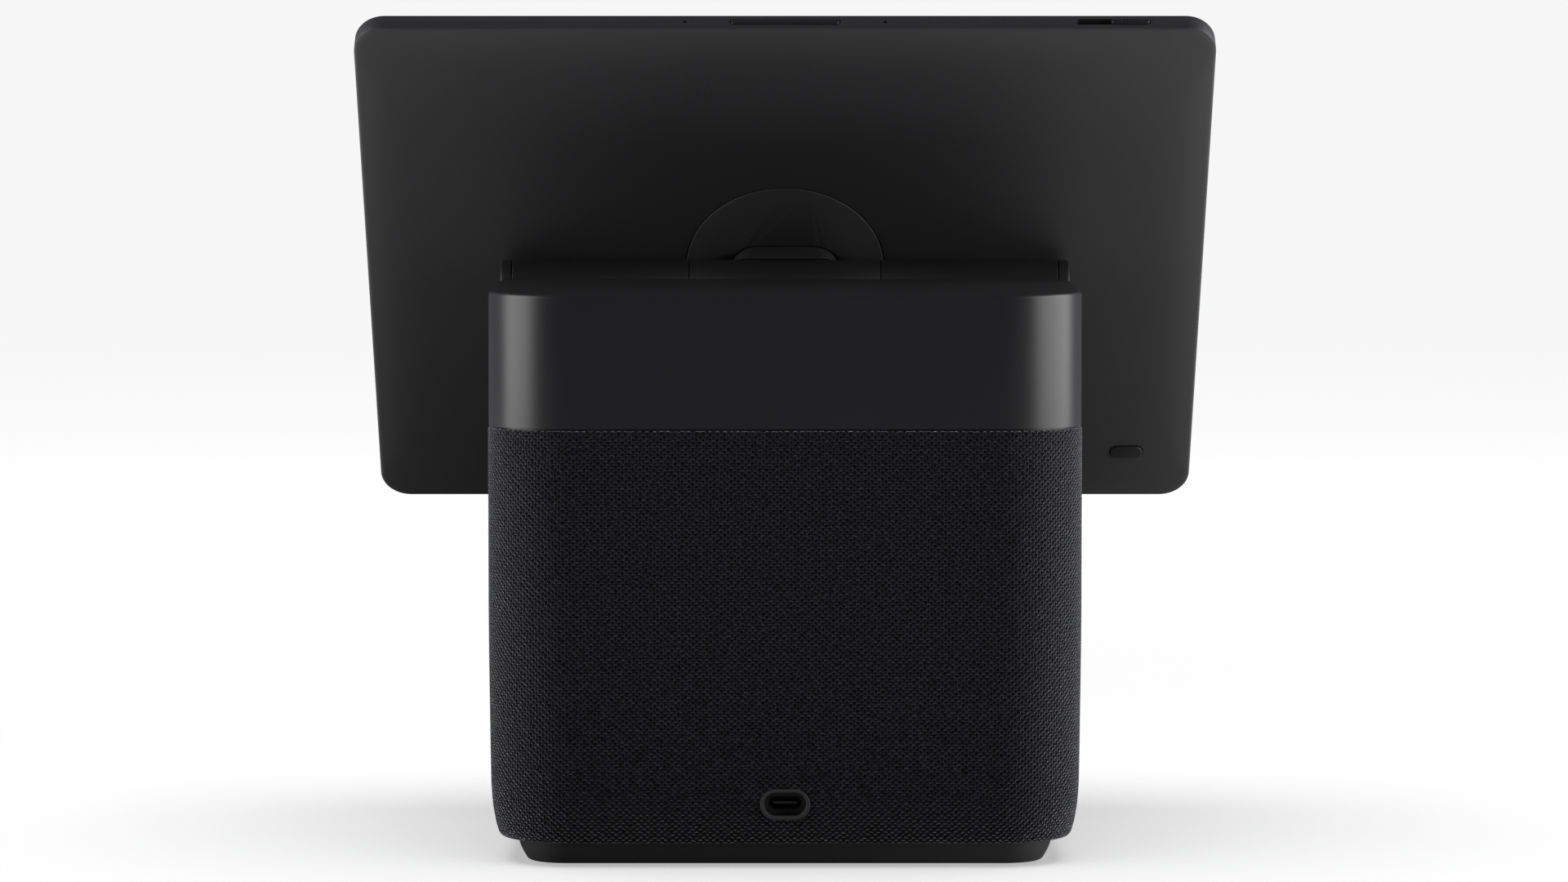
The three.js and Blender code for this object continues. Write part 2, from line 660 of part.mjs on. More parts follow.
function backCover() {
  const outside = panelStack([
    [18, BACK_APEX], [12, 10.7], [7, 11.05], [3, 11.65], [0.4, CREASE], [0, CREASE + 0.5],
    [0, RIM_FRONT - 0.2], [0.2, RIM_FRONT],
  ]);
  const inside = panelStack([
    [19, COVER_INNER], [13, 12.3], [8, 12.7], [4, 13.3], [COVER_WALL, 14], [COVER_WALL, RIM_FRONT + 1],
  ]);
  const rebate = panelStack([[REBATE_INSET, REBATE_BACK], [REBATE_INSET, RIM_FRONT + 1]]);
  const hub = solidOf(rod(HUB_RADIUS + GAP, 9, 13.5, HUB_STEPS).rotateX(Math.PI / 2));
  const keySlot = sideSlot(KEY_LENGTH + 2 * GAP, KEY_WIDTH + 2 * GAP, 0);
  const shutterLength = SHUTTER_KNOB + SHUTTER_TRAVEL + 2 * GAP;
  const shutterSlot = sideSlot(shutterLength, KEY_WIDTH + GAP, SHUTTER_OUTER - GAP + shutterLength / 2);
  const microphones = [-1, 1].map((side) => {
    const hole = rod(MICROPHONE_HOLE, PANEL_TOP - 4, PANEL_TOP + 2, SMALL_STEPS);
    return solidOf(hole.translate(side * MICROPHONE_X, -SIDE_MIDDLE, 0));
  });
  const mute = slab(obroundShape(MUTE_LENGTH + 2 * GAP, MUTE_HEIGHT + 2 * GAP), 9, 13, MUTE_X, MUTE_Z);
  return cut(outside, inside, rebate, hub, keySlot, shutterSlot, ...microphones, mute);
}

const FRAME_NEAR = 14.3;
const FRAME_FAR = 16.85;
const CELL = { width: 227, depth: 147, near: 15, far: 17.2 };
const SHIELD_FAR = 14.7;
const KEY_POCKET = { width: 37, height: 6, z: 84 };
const KNOB_POCKET = { width: 26, height: 4, x: -94.5, z: 84.4 };
const CAMERA_POCKET = 9.4;
const MICROPHONE_POCKET = { width: 5, height: 4, z: 84.6 };

function midFrame() {
  const outside = panelStack([[COVER_WALL + GAP, FRAME_NEAR], [COVER_WALL + GAP, FRAME_FAR]]);
  const pocket = (width, height, x, z) => slabBox(width, height, FRAME_NEAR - 1, FRAME_FAR + 1, x, z);
  const opening = pocket(CELL.width + 1, CELL.depth + 1, 0, PANEL.centre);
  const keyPocket = pocket(KEY_POCKET.width, KEY_POCKET.height, 0, KEY_POCKET.z);
  const cameraPocket = pocket(CAMERA_POCKET, CAMERA_POCKET, CAMERA_X, CAMERA_Z);
  const knobPocket = pocket(KNOB_POCKET.width, KNOB_POCKET.height, KNOB_POCKET.x, KNOB_POCKET.z);
  const microphonePockets = [-1, 1].map((side) => {
    const { width, height, z } = MICROPHONE_POCKET;
    return pocket(width, height, side * MICROPHONE_X, z);
  });
  return cut(outside, opening, keyPocket, cameraPocket, knobPocket, ...microphonePockets);
}

function shieldPlate() {
  return slabBox(CELL.width - 2, CELL.depth - 2, FRAME_NEAR, SHIELD_FAR, 0, PANEL.centre);
}

function displayPanel() {
  return slabBox(CELL.width, CELL.depth, CELL.near, CELL.far, 0, PANEL.centre);
}

function frontGlass() {
  const bevel = 0.3;
  return panelStack([
    [GLASS_INSET, GLASS_BACK], [GLASS_INSET, GLASS_FRONT - bevel], [GLASS_INSET + bevel, GLASS_FRONT],
  ]);
}

const MAIN_BOARD = { width: 62, height: 92, near: 13, far: 13.9, x: -68 };
const MAIN_BOARD_CHIPS = [
  { x: -80, z: 24, size: 14 },
  { x: -58, z: 22, size: 10 },
  { x: -72, z: -14, size: 12 },
];

function mainBoard() {
  const { width, height, near, far, x } = MAIN_BOARD;
  const board = slabBox(width, height, near, far, x, 0);
  const chips = MAIN_BOARD_CHIPS.map((chip) => {
    return slabBox(chip.size, chip.size, near - 0.6, near + 0.1, chip.x, chip.z);
  });
  return join(board, ...chips);
}

const CABLE_RADIUS = 0.5;

// The cable leaves the main board, passes the neck and ends inside the barrel.
function displayCable() {
  const route = new THREE.CurvePath();
  const corners = [
    [-36, -12.9, 14], [-27, -12.9, 14], [-20, -12.2, 14], [-4, -12, 13.6], [-0.4, -12, 12], [0, -11.95, 8],
    [0, -11.9, 3], [0, -10.6, 0.4], [0, -6, 0], [0, 1, 0],
  ].map(([x, y, z]) => new THREE.Vector3(x, y, z));
  route.add(new THREE.CatmullRomCurve3(corners, false, 'centripetal'));
  const section = new THREE.Shape();
  section.absarc(0, 0, CABLE_RADIUS, 0, 2 * Math.PI);
  const options = { steps: 18, extrudePath: route, bevelEnabled: false, curveSegments: 3 };
  return solidOf(new THREE.ExtrudeGeometry(section, options));
}

// ---------------------------------------------------------------- camera, switches and buttons

const CAMERA_SIZE = 8.6;
const SWITCH_BOARD = { length: 32, depth: 2.4, thickness: 0.8, z: 82 };
const SWITCH = { x: 11, length: 3.2, depth: 2.2, height: 0.9, z: 82.8 };
const MICROPHONE = { length: 3.6, depth: 2.4, height: 1.2, z: 84 };
const KEY_FLANGE = { length: 33.5, depth: 2, height: 0.6, z: 84 };

function cameraModule() {
  return slabBox(CAMERA_SIZE, CAMERA_SIZE, 14.8, 16.1, CAMERA_X, CAMERA_Z);
}

function cameraLens() {
  const profile = [[0, 16.25], [2.6, 16.25], [2.6, 16.6], [1.8, 16.8], [0, 16.8]];
  return solidOf(turned(profile, DRIVER_STEPS).rotateX(Math.PI / 2).translate(CAMERA_X, 0, CAMERA_Z));
}

function volumeSwitchBoard() {
  const { length, depth, thickness, z } = SWITCH_BOARD;
  const board = box(length, depth, thickness, 0, -SIDE_MIDDLE, z);
  const switches = [-1, 1].map((side) => {
    return box(SWITCH.length, SWITCH.depth, SWITCH.height, side * SWITCH.x, -SIDE_MIDDLE, SWITCH.z);
  });
  return join(board, ...switches);
}

function microphone(side) {
  const { length, depth, height, z } = MICROPHONE;
  return box(length, depth, height, side * MICROPHONE_X, -SIDE_MIDDLE, z);
}

function muteSwitch() {
  return slabBox(6, 5, 13.6, 14.1, MUTE_X, MUTE_Z);
}

function volumeRocker() {
  const { length, depth, height, z } = KEY_FLANGE;
  const key = solidOf(prism(obroundShape(KEY_LENGTH, KEY_WIDTH), z + 0.2, PANEL_TOP + KEY_PROUD));
  const flange = box(length, depth, height, 0, 0, z);
  return join(key, flange).translate([0, -SIDE_MIDDLE, 0]);
}

function shutterKnob() {
  const middle = SHUTTER_OUTER + SHUTTER_KNOB / 2;
  const knob = solidOf(prism(obroundShape(SHUTTER_KNOB, KEY_WIDTH - 0.2), 84, PANEL_TOP + 0.5));
  const carrier = box(SHUTTER_KNOB - 1, 2.8, 0.8, 0, -0.6, 84.2);
  return join(knob, carrier).translate([middle, -SIDE_MIDDLE, 0]);
}

function shutterBlade() {
  const middle = SHUTTER_OUTER + SHUTTER_KNOB / 2;
  return slabBox(SHUTTER_KNOB - 0.6, 11.4, 16.95, 17.25, middle, 77.8);
}

function muteButton() {
  const head = slab(obroundShape(MUTE_LENGTH, MUTE_HEIGHT), BACK_APEX - MUTE_PROUD, 12.6);
  const flange = slabBox(MUTE_LENGTH + 2, MUTE_HEIGHT + 0.6, 12.5, 12.8, 0, 0);
  return join(head, flange).translate([MUTE_X, 0, MUTE_Z]);
}

// ---------------------------------------------------------------- assembly

function sideName(side) {
  return side < 0 ? 'left' : 'right';
}

function speakerBlock() {
  const block = new THREE.Group();
  block.add(
    part('foot_pad', footPad(), FINISHES.rubber),
    part('base_plinth', basePlinth(), FINISHES.mattePlastic),
    ...screwPlaces().map((place, i) => part(`base_screw_${i + 1}`, baseScrew(place), FINISHES.steel)),
    part('cabinet', cabinet(), FINISHES.innerPlastic),
    part('fabric_sleeve', fabricSleeve(), FINISHES.fabric),
    part('acoustic_lid', acousticLid(), FINISHES.innerPlastic),
    part('lid_gasket', lidGasket(), FINISHES.rubber),
    part('collar', collar(), FINISHES.satinPlastic),
    part('hinge_bracket', hingeBracket(), FINISHES.steel),
    part('woofer_basket', wooferBasket(), FINISHES.steel),
    part('woofer_magnet', wooferMagnet(), FINISHES.magnet),
    part('woofer_surround', wooferSurround(), FINISHES.rubber),
    part('woofer_cone', wooferCone(), FINISHES.paper),
    part('amplifier_board', amplifierBoard(), FINISHES.board),
    part('heat_sink', heatSink(), FINISHES.castAlloy),
    part('port_bezel', portBezel(), FINISHES.mattePlastic),
    part('port_shell', portShell(), FINISHES.steel),
    part('port_tongue', portTongue(), FINISHES.mattePlastic),
  );
  for (const side of [-1, 1]) {
    const name = sideName(side);
    block.add(
      part(`hinge_cheek_${name}`, hingeCheek(side), FINISHES.mattePlastic),
      part(`hinge_shaft_${name}`, hingeShaft(side), FINISHES.steel),
      part(`tweeter_${name}`, tweeterHousing(side), FINISHES.innerPlastic),
      part(`tweeter_dome_${name}`, tweeterDome(side), FINISHES.paper),
      part(`radiator_surround_${name}`, radiatorSurround(side), FINISHES.rubber),
      part(`radiator_plate_${name}`, radiatorPlate(side), FINISHES.castAlloy),
    );
  }
  return block;
}

function display() {
  const screen = new THREE.Group();
  screen.position.set(0, HINGE_Y, HINGE_Z);
  screen.rotation.x = -SCREEN_LEAN;
  screen.add(
    part('hinge_barrel', hingeBarrel(), FINISHES.mattePlastic),
    part('hinge_neck', hingeNeck(), FINISHES.paintedAlloy),
    ...neckScrewPlaces().map((place, i) => part(`neck_screw_${i + 1}`, neckScrew(place), FINISHES.steel)),
    part('hub_disc', hubDisc(), FINISHES.mattePlastic),
    part('back_cover', backCover(), FINISHES.mattePlastic),
    part('mid_frame', midFrame(), FINISHES.innerPlastic),
    part('shield_plate', shieldPlate(), FINISHES.steel),
    part('display_panel', displayPanel(), FINISHES.screen),
    part('front_glass', frontGlass(), FINISHES.glass),
    part('main_board', mainBoard(), FINISHES.board),
    part('display_cable', displayCable(), FINISHES.copper),
    part('camera_module', cameraModule(), FINISHES.innerPlastic),
    part('camera_lens', cameraLens(), FINISHES.lens),
    part('volume_switch_board', volumeSwitchBoard(), FINISHES.board),
    part('mute_switch', muteSwitch(), FINISHES.innerPlastic),
    part('volume_rocker', volumeRocker(), FINISHES.satinPlastic),
    part('shutter_knob', shutterKnob(), FINISHES.satinPlastic),
    part('shutter_blade', shutterBlade(), FINISHES.mattePlastic),
    part('mute_button', muteButton(), FINISHES.satinPlastic),
  );
  for (const side of [-1, 1]) {
    const name = sideName(side);
    screen.add(
      part(`torque_sleeve_${name}`, torqueSleeve(side), FINISHES.steel),
      part(`microphone_${name}`, microphone(side), FINISHES.steel),
    );
  }
  return screen;
}

const smartSpeaker = new THREE.Group();
smartSpeaker.name = 'smart_speaker';
smartSpeaker.add(speakerBlock(), display());

export default smartSpeaker;
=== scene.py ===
"""Smart speaker with a tilting touch display: the visual model.

Metres in the scene, +Z up, the screen faces -Y. Shapes are described in millimetres and scaled at the end.
Left and right are those of a person in front of the screen, so left is -X.
"""

import json
import math

import bmesh
import bpy
from mathutils import Matrix, Vector


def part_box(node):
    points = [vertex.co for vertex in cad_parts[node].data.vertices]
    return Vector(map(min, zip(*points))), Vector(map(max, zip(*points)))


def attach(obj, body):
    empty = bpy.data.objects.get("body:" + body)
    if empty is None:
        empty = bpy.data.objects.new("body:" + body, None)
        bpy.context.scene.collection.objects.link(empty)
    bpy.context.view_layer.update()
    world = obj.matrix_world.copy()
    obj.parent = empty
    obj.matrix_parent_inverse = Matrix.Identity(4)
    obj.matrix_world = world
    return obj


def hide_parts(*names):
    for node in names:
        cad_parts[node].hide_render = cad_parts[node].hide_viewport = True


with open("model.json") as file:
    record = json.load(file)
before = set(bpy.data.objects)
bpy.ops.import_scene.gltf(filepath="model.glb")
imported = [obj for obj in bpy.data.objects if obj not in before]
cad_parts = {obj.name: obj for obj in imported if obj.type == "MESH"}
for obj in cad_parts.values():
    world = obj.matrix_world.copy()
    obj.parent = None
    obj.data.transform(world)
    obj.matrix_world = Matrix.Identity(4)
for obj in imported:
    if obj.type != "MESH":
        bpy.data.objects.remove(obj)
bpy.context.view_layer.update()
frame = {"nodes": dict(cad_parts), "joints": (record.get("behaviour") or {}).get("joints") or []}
scene = bpy.context.scene
scene.view_settings.view_transform = "Standard"

# ---------------------------------------------------------------- sizes, in millimetres


def node_box(node):
    """The lowest and highest corner of a CAD node, in millimetres."""
    low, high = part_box(node)
    return low * 1000, high * 1000


def joint_named(name):
    return next(j for j in frame["joints"] if j["name"] == name)


sleeve_low, sleeve_high = node_box("fabric_sleeve")
cover_low, cover_high = node_box("back_cover")
port_low, port_high = node_box("port_bezel")

# Speaker block. Its plan is a rectangle with wide rear corners and tight front ones.
BODY = {
    "width": sleeve_high.x - sleeve_low.x,
    "depth": sleeve_high.y - sleeve_low.y,
    "centre": (sleeve_high.y + sleeve_low.y) / 2,
    "front": 8.0,
    "rear": 25.0,
}
BODY_REAR = sleeve_high.y
SLEEVE_BOTTOM = sleeve_low.z
SLEEVE_TOP = sleeve_high.z
SLEEVE_THICKNESS = 1.3
SLEEVE_EDGE = 0.35
COLLAR_BOTTOM = SLEEVE_TOP + 0.5
COLLAR_TOP = 161.8
COLLAR_SLOPE = math.tan(math.radians(1.25))
COLLAR_INSET = 0.2
COLLAR_WALL = 2.6
COLLAR_EDGE = 1.2
COLLAR_LOWER_EDGE = 0.1
COLLAR_LIP = 123.3
RABBET_INSET = 1.5

# Hinge across the top front of the block.
HINGE = Vector(joint_named("screen_tilt")["pos_m"]) * 1000
BARREL_RADIUS = 8.6
BARREL_BORE = 6.4
BARREL_END = 80.9
BARREL_EDGE = 0.25
GROOVE_X = 28.4
GROOVE_WIDTH = 0.7
GROOVE_DEPTH = 0.4
NOTCH_RADIUS = 9.0
TROUGH_RADIUS = 12.0
CHEEK_INNER = 81.3
CHEEK_END = 84.3
KEY_MIDDLE = 82.2

# Display, in the hinge's turned frame. Distances towards the screen are measured from the hinge's axis.
PANEL = {"width": cover_high.x - cover_low.x, "depth": 178.2, "centre": -2.5, "front": 9.0, "rear": 9.0}
PANEL_TOP = PANEL["centre"] + PANEL["depth"] / 2
PANEL_BOTTOM = PANEL["centre"] - PANEL["depth"] / 2
GLASS_FRONT = 18.5
GLASS_BACK = 17.45
GLASS_INSET = 1.2
RIM_FRONT = 18.3
REBATE_BACK = 17.3
REBATE_INSET = 0.9
BACK_APEX = 10.6
SIDE_MIDDLE = 15.2
HUB_RADIUS = 29.5
HUB_FACE = 10.2
HUB_CHAMFER = 0.5
HUB_BACK = 12.1
HUB_WEB = 11.3
HUB_INNER = 27.6
NECK_LENGTH = 32.0
NECK_HEIGHT = 15.4
FLANGE_SIZE = (48, 17)
FLANGE_NEAR = 12.7
FLANGE_FAR = 14.0
NECK_SCREW_X = 20
NECK_SCREW_Z = 5.4
NECK_SCREW_HEAD = 2.9
NECK_SCREW_HOLE = 1.7
CABLE_WAY = 3.6
ENTRY_NEAR = 11
GAP = 0.3

# Controls on the display.
KEY_LENGTH = 31.5
KEY_WIDTH = 2.4
KEY_PROUD = 0.3
KEY_EDGE = 0.3
KEY_FOOT = 84.2
KEY_FLANGE = 84
MICROPHONE_X = 29.0
MICROPHONE_HOLE = 1.1
SHUTTER_OUTER = -105.5
SHUTTER_KNOB = 11.1
SHUTTER_TRAVEL = 10.1
SHUTTER_PROUD = 0.5
GRIP_STEP = 0.9
GRIP_RADIUS = 0.25
GRIP_LEVEL = 0.62
CAMERA_X = -89.0
CAMERA_Z = 77.0
WINDOW_RADIUS = 3.0
MUTE_X = -105.0
MUTE_Z = PANEL_BOTTOM + 18.9
MUTE_LENGTH = 9.9
MUTE_HEIGHT = 4.6
MUTE_PROUD = 0.5
MUTE_EDGE = 0.35
MUTE_FLANGE = 0.28
MUTE_FLANGE_FACE = 12.5

# Power port at the back.
PORT_Z = (port_low.z + port_high.z) / 2
PORT_LENGTH = 14.2
PORT_HEIGHT = 8.9
PORT_RIM = 1.15
PORT_FACE = port_high.y
PORT_FLOOR = PORT_FACE - 4.5
PORT_EDGE = 0.35
PORT_WALL = 1.5
PORT_OPENING = (9.3, 3.6)
SHELL_OUTER = (8.94, 3.2)
SHELL_INNER = (8.34, 2.56)
SHELL_DEPTH = 6.6
SHELL_FLOOR = 0.6

# Weave of the sleeve: one cell holds two holes, set half a cell apart.
WEAVE_WIDTH = 1.97
WEAVE_HEIGHT = 1.66

# ---------------------------------------------------------------- frames

TO_METRES = Matrix.Scale(0.001, 4)
LEAN_AXIS = Vector(joint_named("volume_rock")["axis"])
LEAN = math.atan2(-LEAN_AXIS.z, LEAN_AXIS.y)
BLOCK = Matrix.Identity(4)
DISPLAY = Matrix.Translation(HINGE) @ Matrix.Rotation(-LEAN, 4, "X")
SLAB = DISPLAY @ Matrix.Rotation(math.pi / 2, 4, "X")
HINGE_LINE = Matrix.Translation(HINGE) @ Matrix.Rotation(math.pi / 2, 4, "Y")
TURNING_LINE = DISPLAY @ Matrix.Rotation(math.pi / 2, 4, "Y")
REARWARD = Matrix.Translation((0, 0, PORT_Z)) @ Matrix.Rotation(-math.pi / 2, 4, "X")

# ---------------------------------------------------------------- camera, light and stage

FOCAL_LENGTH = 122
SENSOR_WIDTH = 36
FARTHEST_SEEN = 100
CAMERA_PLACE = (0.0003, 1.537, 0.2064)
CAMERA_TURN_DEG = (86.7, 0, 180)

# The world's brightness to the camera, and its glow on the object from behind it and from before it.
WORLD_SEEN = 0.92
WORLD_BEHIND = 0.04
WORLD_BEFORE = 0.2

# Each softbox: its place, the point it faces, its width, its height and the brightness of its face.
SOFTBOXES = {
    "left_softbox": ((1.12, 0.21, 0.44), (0, 0.03, 0.12), 0.95, 0.95, 6.9),
    "right_softbox": ((-1.13, 0.12, 0.44), (0, 0.02, 0.12), 1.3, 0.95, 6.9),
    "floor_softbox": ((0.0, 0.1, 1.2), (0, 0, 0), 1.6, 1.2, 2.2),
}

# The floor that is seen, and the hidden one that stands in for it in the light that reaches the object.
# Each glows more strongly away from a centre: the glow changes over a reach of distances.
FLOOR_CORNERS = ((-8.0, -8.0), (8.0, 8.0))
FLOOR_ALBEDO = 0.8
FLOOR_CENTRE = (0.0, 0.0, 0.0)
FLOOR_REACH = (0.15, 1.5)
FLOOR_GLOW = (0.45, 0.85)
REFLECTOR_CORNERS = ((-0.9, -0.45), (0.9, 0.34))
REFLECTOR_LEVEL = -0.0005
REFLECTOR_CENTRE = (0.035, -0.05, 0.0)
REFLECTOR_REACH = (0.08, 0.46)
REFLECTOR_GLOW = (0.05, 2.2)


def add_camera():
    data = bpy.data.cameras.new("camera")
    data.lens = FOCAL_LENGTH
    data.sensor_width = SENSOR_WIDTH
    data.clip_end = FARTHEST_SEEN
    camera = bpy.data.objects.new("camera", data)
    camera.location = CAMERA_PLACE
    camera.rotation_euler = [math.radians(turn) for turn in CAMERA_TURN_DEG]
    scene.collection.objects.link(camera)
    scene.camera = camera


def add_softbox(name, place, aim, width, height, radiance):
    """A rectangular light facing a point. Radiance is the brightness of its face."""
    data = bpy.data.lights.new(name, "AREA")
    data.shape = "RECTANGLE"
    data.size = width
    data.size_y = height
    data.energy = radiance * math.pi * width * height
    light = bpy.data.objects.new(name, data)
    light.location = place
    towards = Vector(aim) - Vector(place)
    light.rotation_euler = towards.to_track_quat("-Z", "Y").to_euler()
    light.visible_camera = False
    scene.collection.objects.link(light)
    return light


def share_light(light, floors, state):
    """Keeps a light for some floors alone with INCLUDE, or off them with EXCLUDE. All still cast shadows."""
    group = bpy.data.collections.new(light.name + "_floor")
    for floor in floors:
        group.objects.link(floor)
    for entry in group.collection_objects:
        entry.light_linking.link_state = state
    light.light_linking.receiver_collection = group


def add_world(seen, behind, before):
    """White to the camera. Everything else sees a dim glow, of one strength behind the object, where the
    camera stands, and another before it."""
    world = bpy.data.worlds.new("studio")
    scene.world = world
    world.use_nodes = True
    tree = world.node_tree
    tree.nodes.clear()
    generated = add_node(tree, "ShaderNodeTexCoord").outputs["Generated"]
    direction = add_node(tree, "ShaderNodeSeparateXYZ", {0: generated})
    glow = steps_between(tree, direction.outputs[1], -0.75, 0.15, before, behind)
    path = add_node(tree, "ShaderNodeLightPath")
    ambient = add_node(tree, "ShaderNodeBackground", {"Color": grey(0.96, 1.05), "Strength": glow})
    backdrop = add_node(tree, "ShaderNodeBackground", {"Color": grey(seen)})
    inputs = {0: path.outputs["Is Camera Ray"], 1: ambient.outputs[0], 2: backdrop.outputs[0]}
    mix = add_node(tree, "ShaderNodeMixShader", inputs)
    add_node(tree, "ShaderNodeOutputWorld", {"Surface": mix.outputs[0]})


def add_floor(name, material, corners, level):
    """A level rectangle of floor between two opposite corners."""
    (left, low), (right, high) = corners
    mesh = bpy.data.meshes.new(name)
    outline = [(left, low, level), (right, low, level), (right, high, level), (left, high, level)]
    mesh.from_pydata(outline, [], [(0, 1, 2, 3)])
    mesh.materials.append(material)
    floor = bpy.data.objects.new(name, mesh)
    scene.collection.objects.link(floor)
    return floor


# ---------------------------------------------------------------- shader building

# How much stronger the blue of a grey is, and how far a plastic's roughness strays from its middle.
PLASTIC_TINT = 1.1
METAL_TINT = 1.02
YARN_TINT = 1.16
GLOSS_SPREAD = 0.04


def new_material(name):
    material = bpy.data.materials.new(name)
    material.use_nodes = True
    return material, material.node_tree, material.node_tree.nodes["Principled BSDF"]


def add_node(tree, kind, inputs=None, **settings):
    """A shader node. Inputs may be plain values or the outputs of other nodes."""
    node = tree.nodes.new(kind)
    for key, value in settings.items():
        setattr(node, key, value)
    for key, value in (inputs or {}).items():
        if isinstance(value, bpy.types.NodeSocket):
            tree.links.new(value, node.inputs[key])
        else:
            node.inputs[key].default_value = value
    return node


def maths(tree, operation, first, second=0.0):
    return add_node(tree, "ShaderNodeMath", {0: first, 1: second}, operation=operation).outputs[0]


def steps_between(tree, value, low, high, first=0.0, last=1.0):
    """A smooth change from first to last while the value goes from low to high."""
    inputs = {"Value": value, "From Min": low, "From Max": high, "To Min": first, "To Max": last}
    return add_node(tree, "ShaderNodeMapRange", inputs, interpolation_type="SMOOTHSTEP").outputs[0]


def scaled(tree, value, low, high):
    """A value from 0 to 1 spread over a range."""
    return add_node(tree, "ShaderNodeMapRange", {"Value": value, "To Min": low, "To Max": high}).outputs[0]


def shades(tree, factor, first, second):
    """A colour between two colours."""
    node = add_node(tree, "ShaderNodeMix", data_type="RGBA")
    for socket, value in zip((node.inputs[0], node.inputs[6], node.inputs[7]), (factor, first, second)):
        if isinstance(value, bpy.types.NodeSocket):
            tree.links.new(value, socket)
        else:
            socket.default_value = value
    return node.outputs[2]


def grey(level, tint=1.0):
    """A grey whose blue is a little stronger or weaker."""
    return (level, level, level * tint, 1)


def place_of(tree):
    return add_node(tree, "ShaderNodeTexCoord").outputs["Object"]


def noise(tree, vector, scale, detail=2.0, roughness=0.5):
    inputs = {"Vector": vector, "Scale": scale, "Detail": detail, "Roughness": roughness}
    return add_node(tree, "ShaderNodeTexNoise", inputs).outputs["Fac"]


def stretched(tree, vector, x, y, z):
    return add_node(tree, "ShaderNodeMapping", {"Vector": vector, "Scale": (x, y, z)}).outputs[0]


def bumped(tree, principled, height, distance, strength=1.0):
    inputs = {"Height": height, "Distance": distance, "Strength": strength}
    normal = add_node(tree, "ShaderNodeBump", inputs).outputs[0]
    tree.links.new(normal, principled.inputs["Normal"])


def moulded(name, level, roughness, grain, depth, ior=1.46):
    """A moulded plastic or rubber with a fine grain and slightly uneven gloss."""
    material, tree, principled = new_material(name)
    where = place_of(tree)
    cloud = noise(tree, where, 22.0)
    fine = noise(tree, where, grain, 3.0, 0.6)
    colour = shades(tree, cloud, grey(level * 0.92, PLASTIC_TINT), grey(level * 1.08, PLASTIC_TINT))
    tree.links.new(colour, principled.inputs["Base Color"])
    gloss = scaled(tree, cloud, roughness - GLOSS_SPREAD, roughness + GLOSS_SPREAD)
    tree.links.new(gloss, principled.inputs["Roughness"])
    principled.inputs["IOR"].default_value = ior
    bumped(tree, principled, fine, depth)
    return material


def metal(name, level, roughness, along, depth):
    """A metal with a grain drawn out along one direction."""
    material, tree, principled = new_material(name)
    where = stretched(tree, place_of(tree), *along)
    grain = noise(tree, where, 900.0, 3.0, 0.6)
    colour = shades(tree, grain, grey(level * 0.85, METAL_TINT), grey(level * 1.1, METAL_TINT))
    tree.links.new(colour, principled.inputs["Base Color"])
    tree.links.new(scaled(tree, grain, roughness - 0.08, roughness + 0.1), principled.inputs["Roughness"])
    principled.inputs["Metallic"].default_value = 1.0
    bumped(tree, principled, grain, depth)
    return material


# The weave's yarn, in parts of a cell: how far it swings across and how far it sits above its row of holes.
YARN_SWING = 0.13
YARN_RISE = 0.17
HOLE_NARROWING = 0.2


def weave_pattern(tree, across, up):
    """How open the weave is, 1 in the middle of each hole, and the wavy yarn that arches over each row."""
    turn = 2 * math.pi
    sideways = maths(tree, "COSINE", maths(tree, "MULTIPLY", across, turn))
    height = maths(tree, "MULTIPLY", up, turn)
    lattice = maths(tree, "MULTIPLY", sideways, maths(tree, "COSINE", height))
    narrowing = maths(tree, "SUBTRACT", maths(tree, "POWER", sideways, 2.0), 1.0)
    narrowing = maths(tree, "MULTIPLY", narrowing, HOLE_NARROWING)
    wave = maths(tree, "MULTIPLY", sideways, YARN_SWING * turn)
    rise = maths(tree, "SUBTRACT", height, YARN_RISE * turn)
    first = maths(tree, "COSINE", maths(tree, "SUBTRACT", rise, wave))
    second = maths(tree, "COSINE", maths(tree, "ADD", maths(tree, "SUBTRACT", rise, math.pi), wave))
    first = maths(tree, "MULTIPLY", first, steps_between(tree, sideways, -0.9, 0.5))
    second = maths(tree, "MULTIPLY", second, steps_between(tree, sideways, 0.9, -0.5))
    return maths(tree, "ADD", lattice, narrowing), maths(tree, "MAXIMUM", first, second)


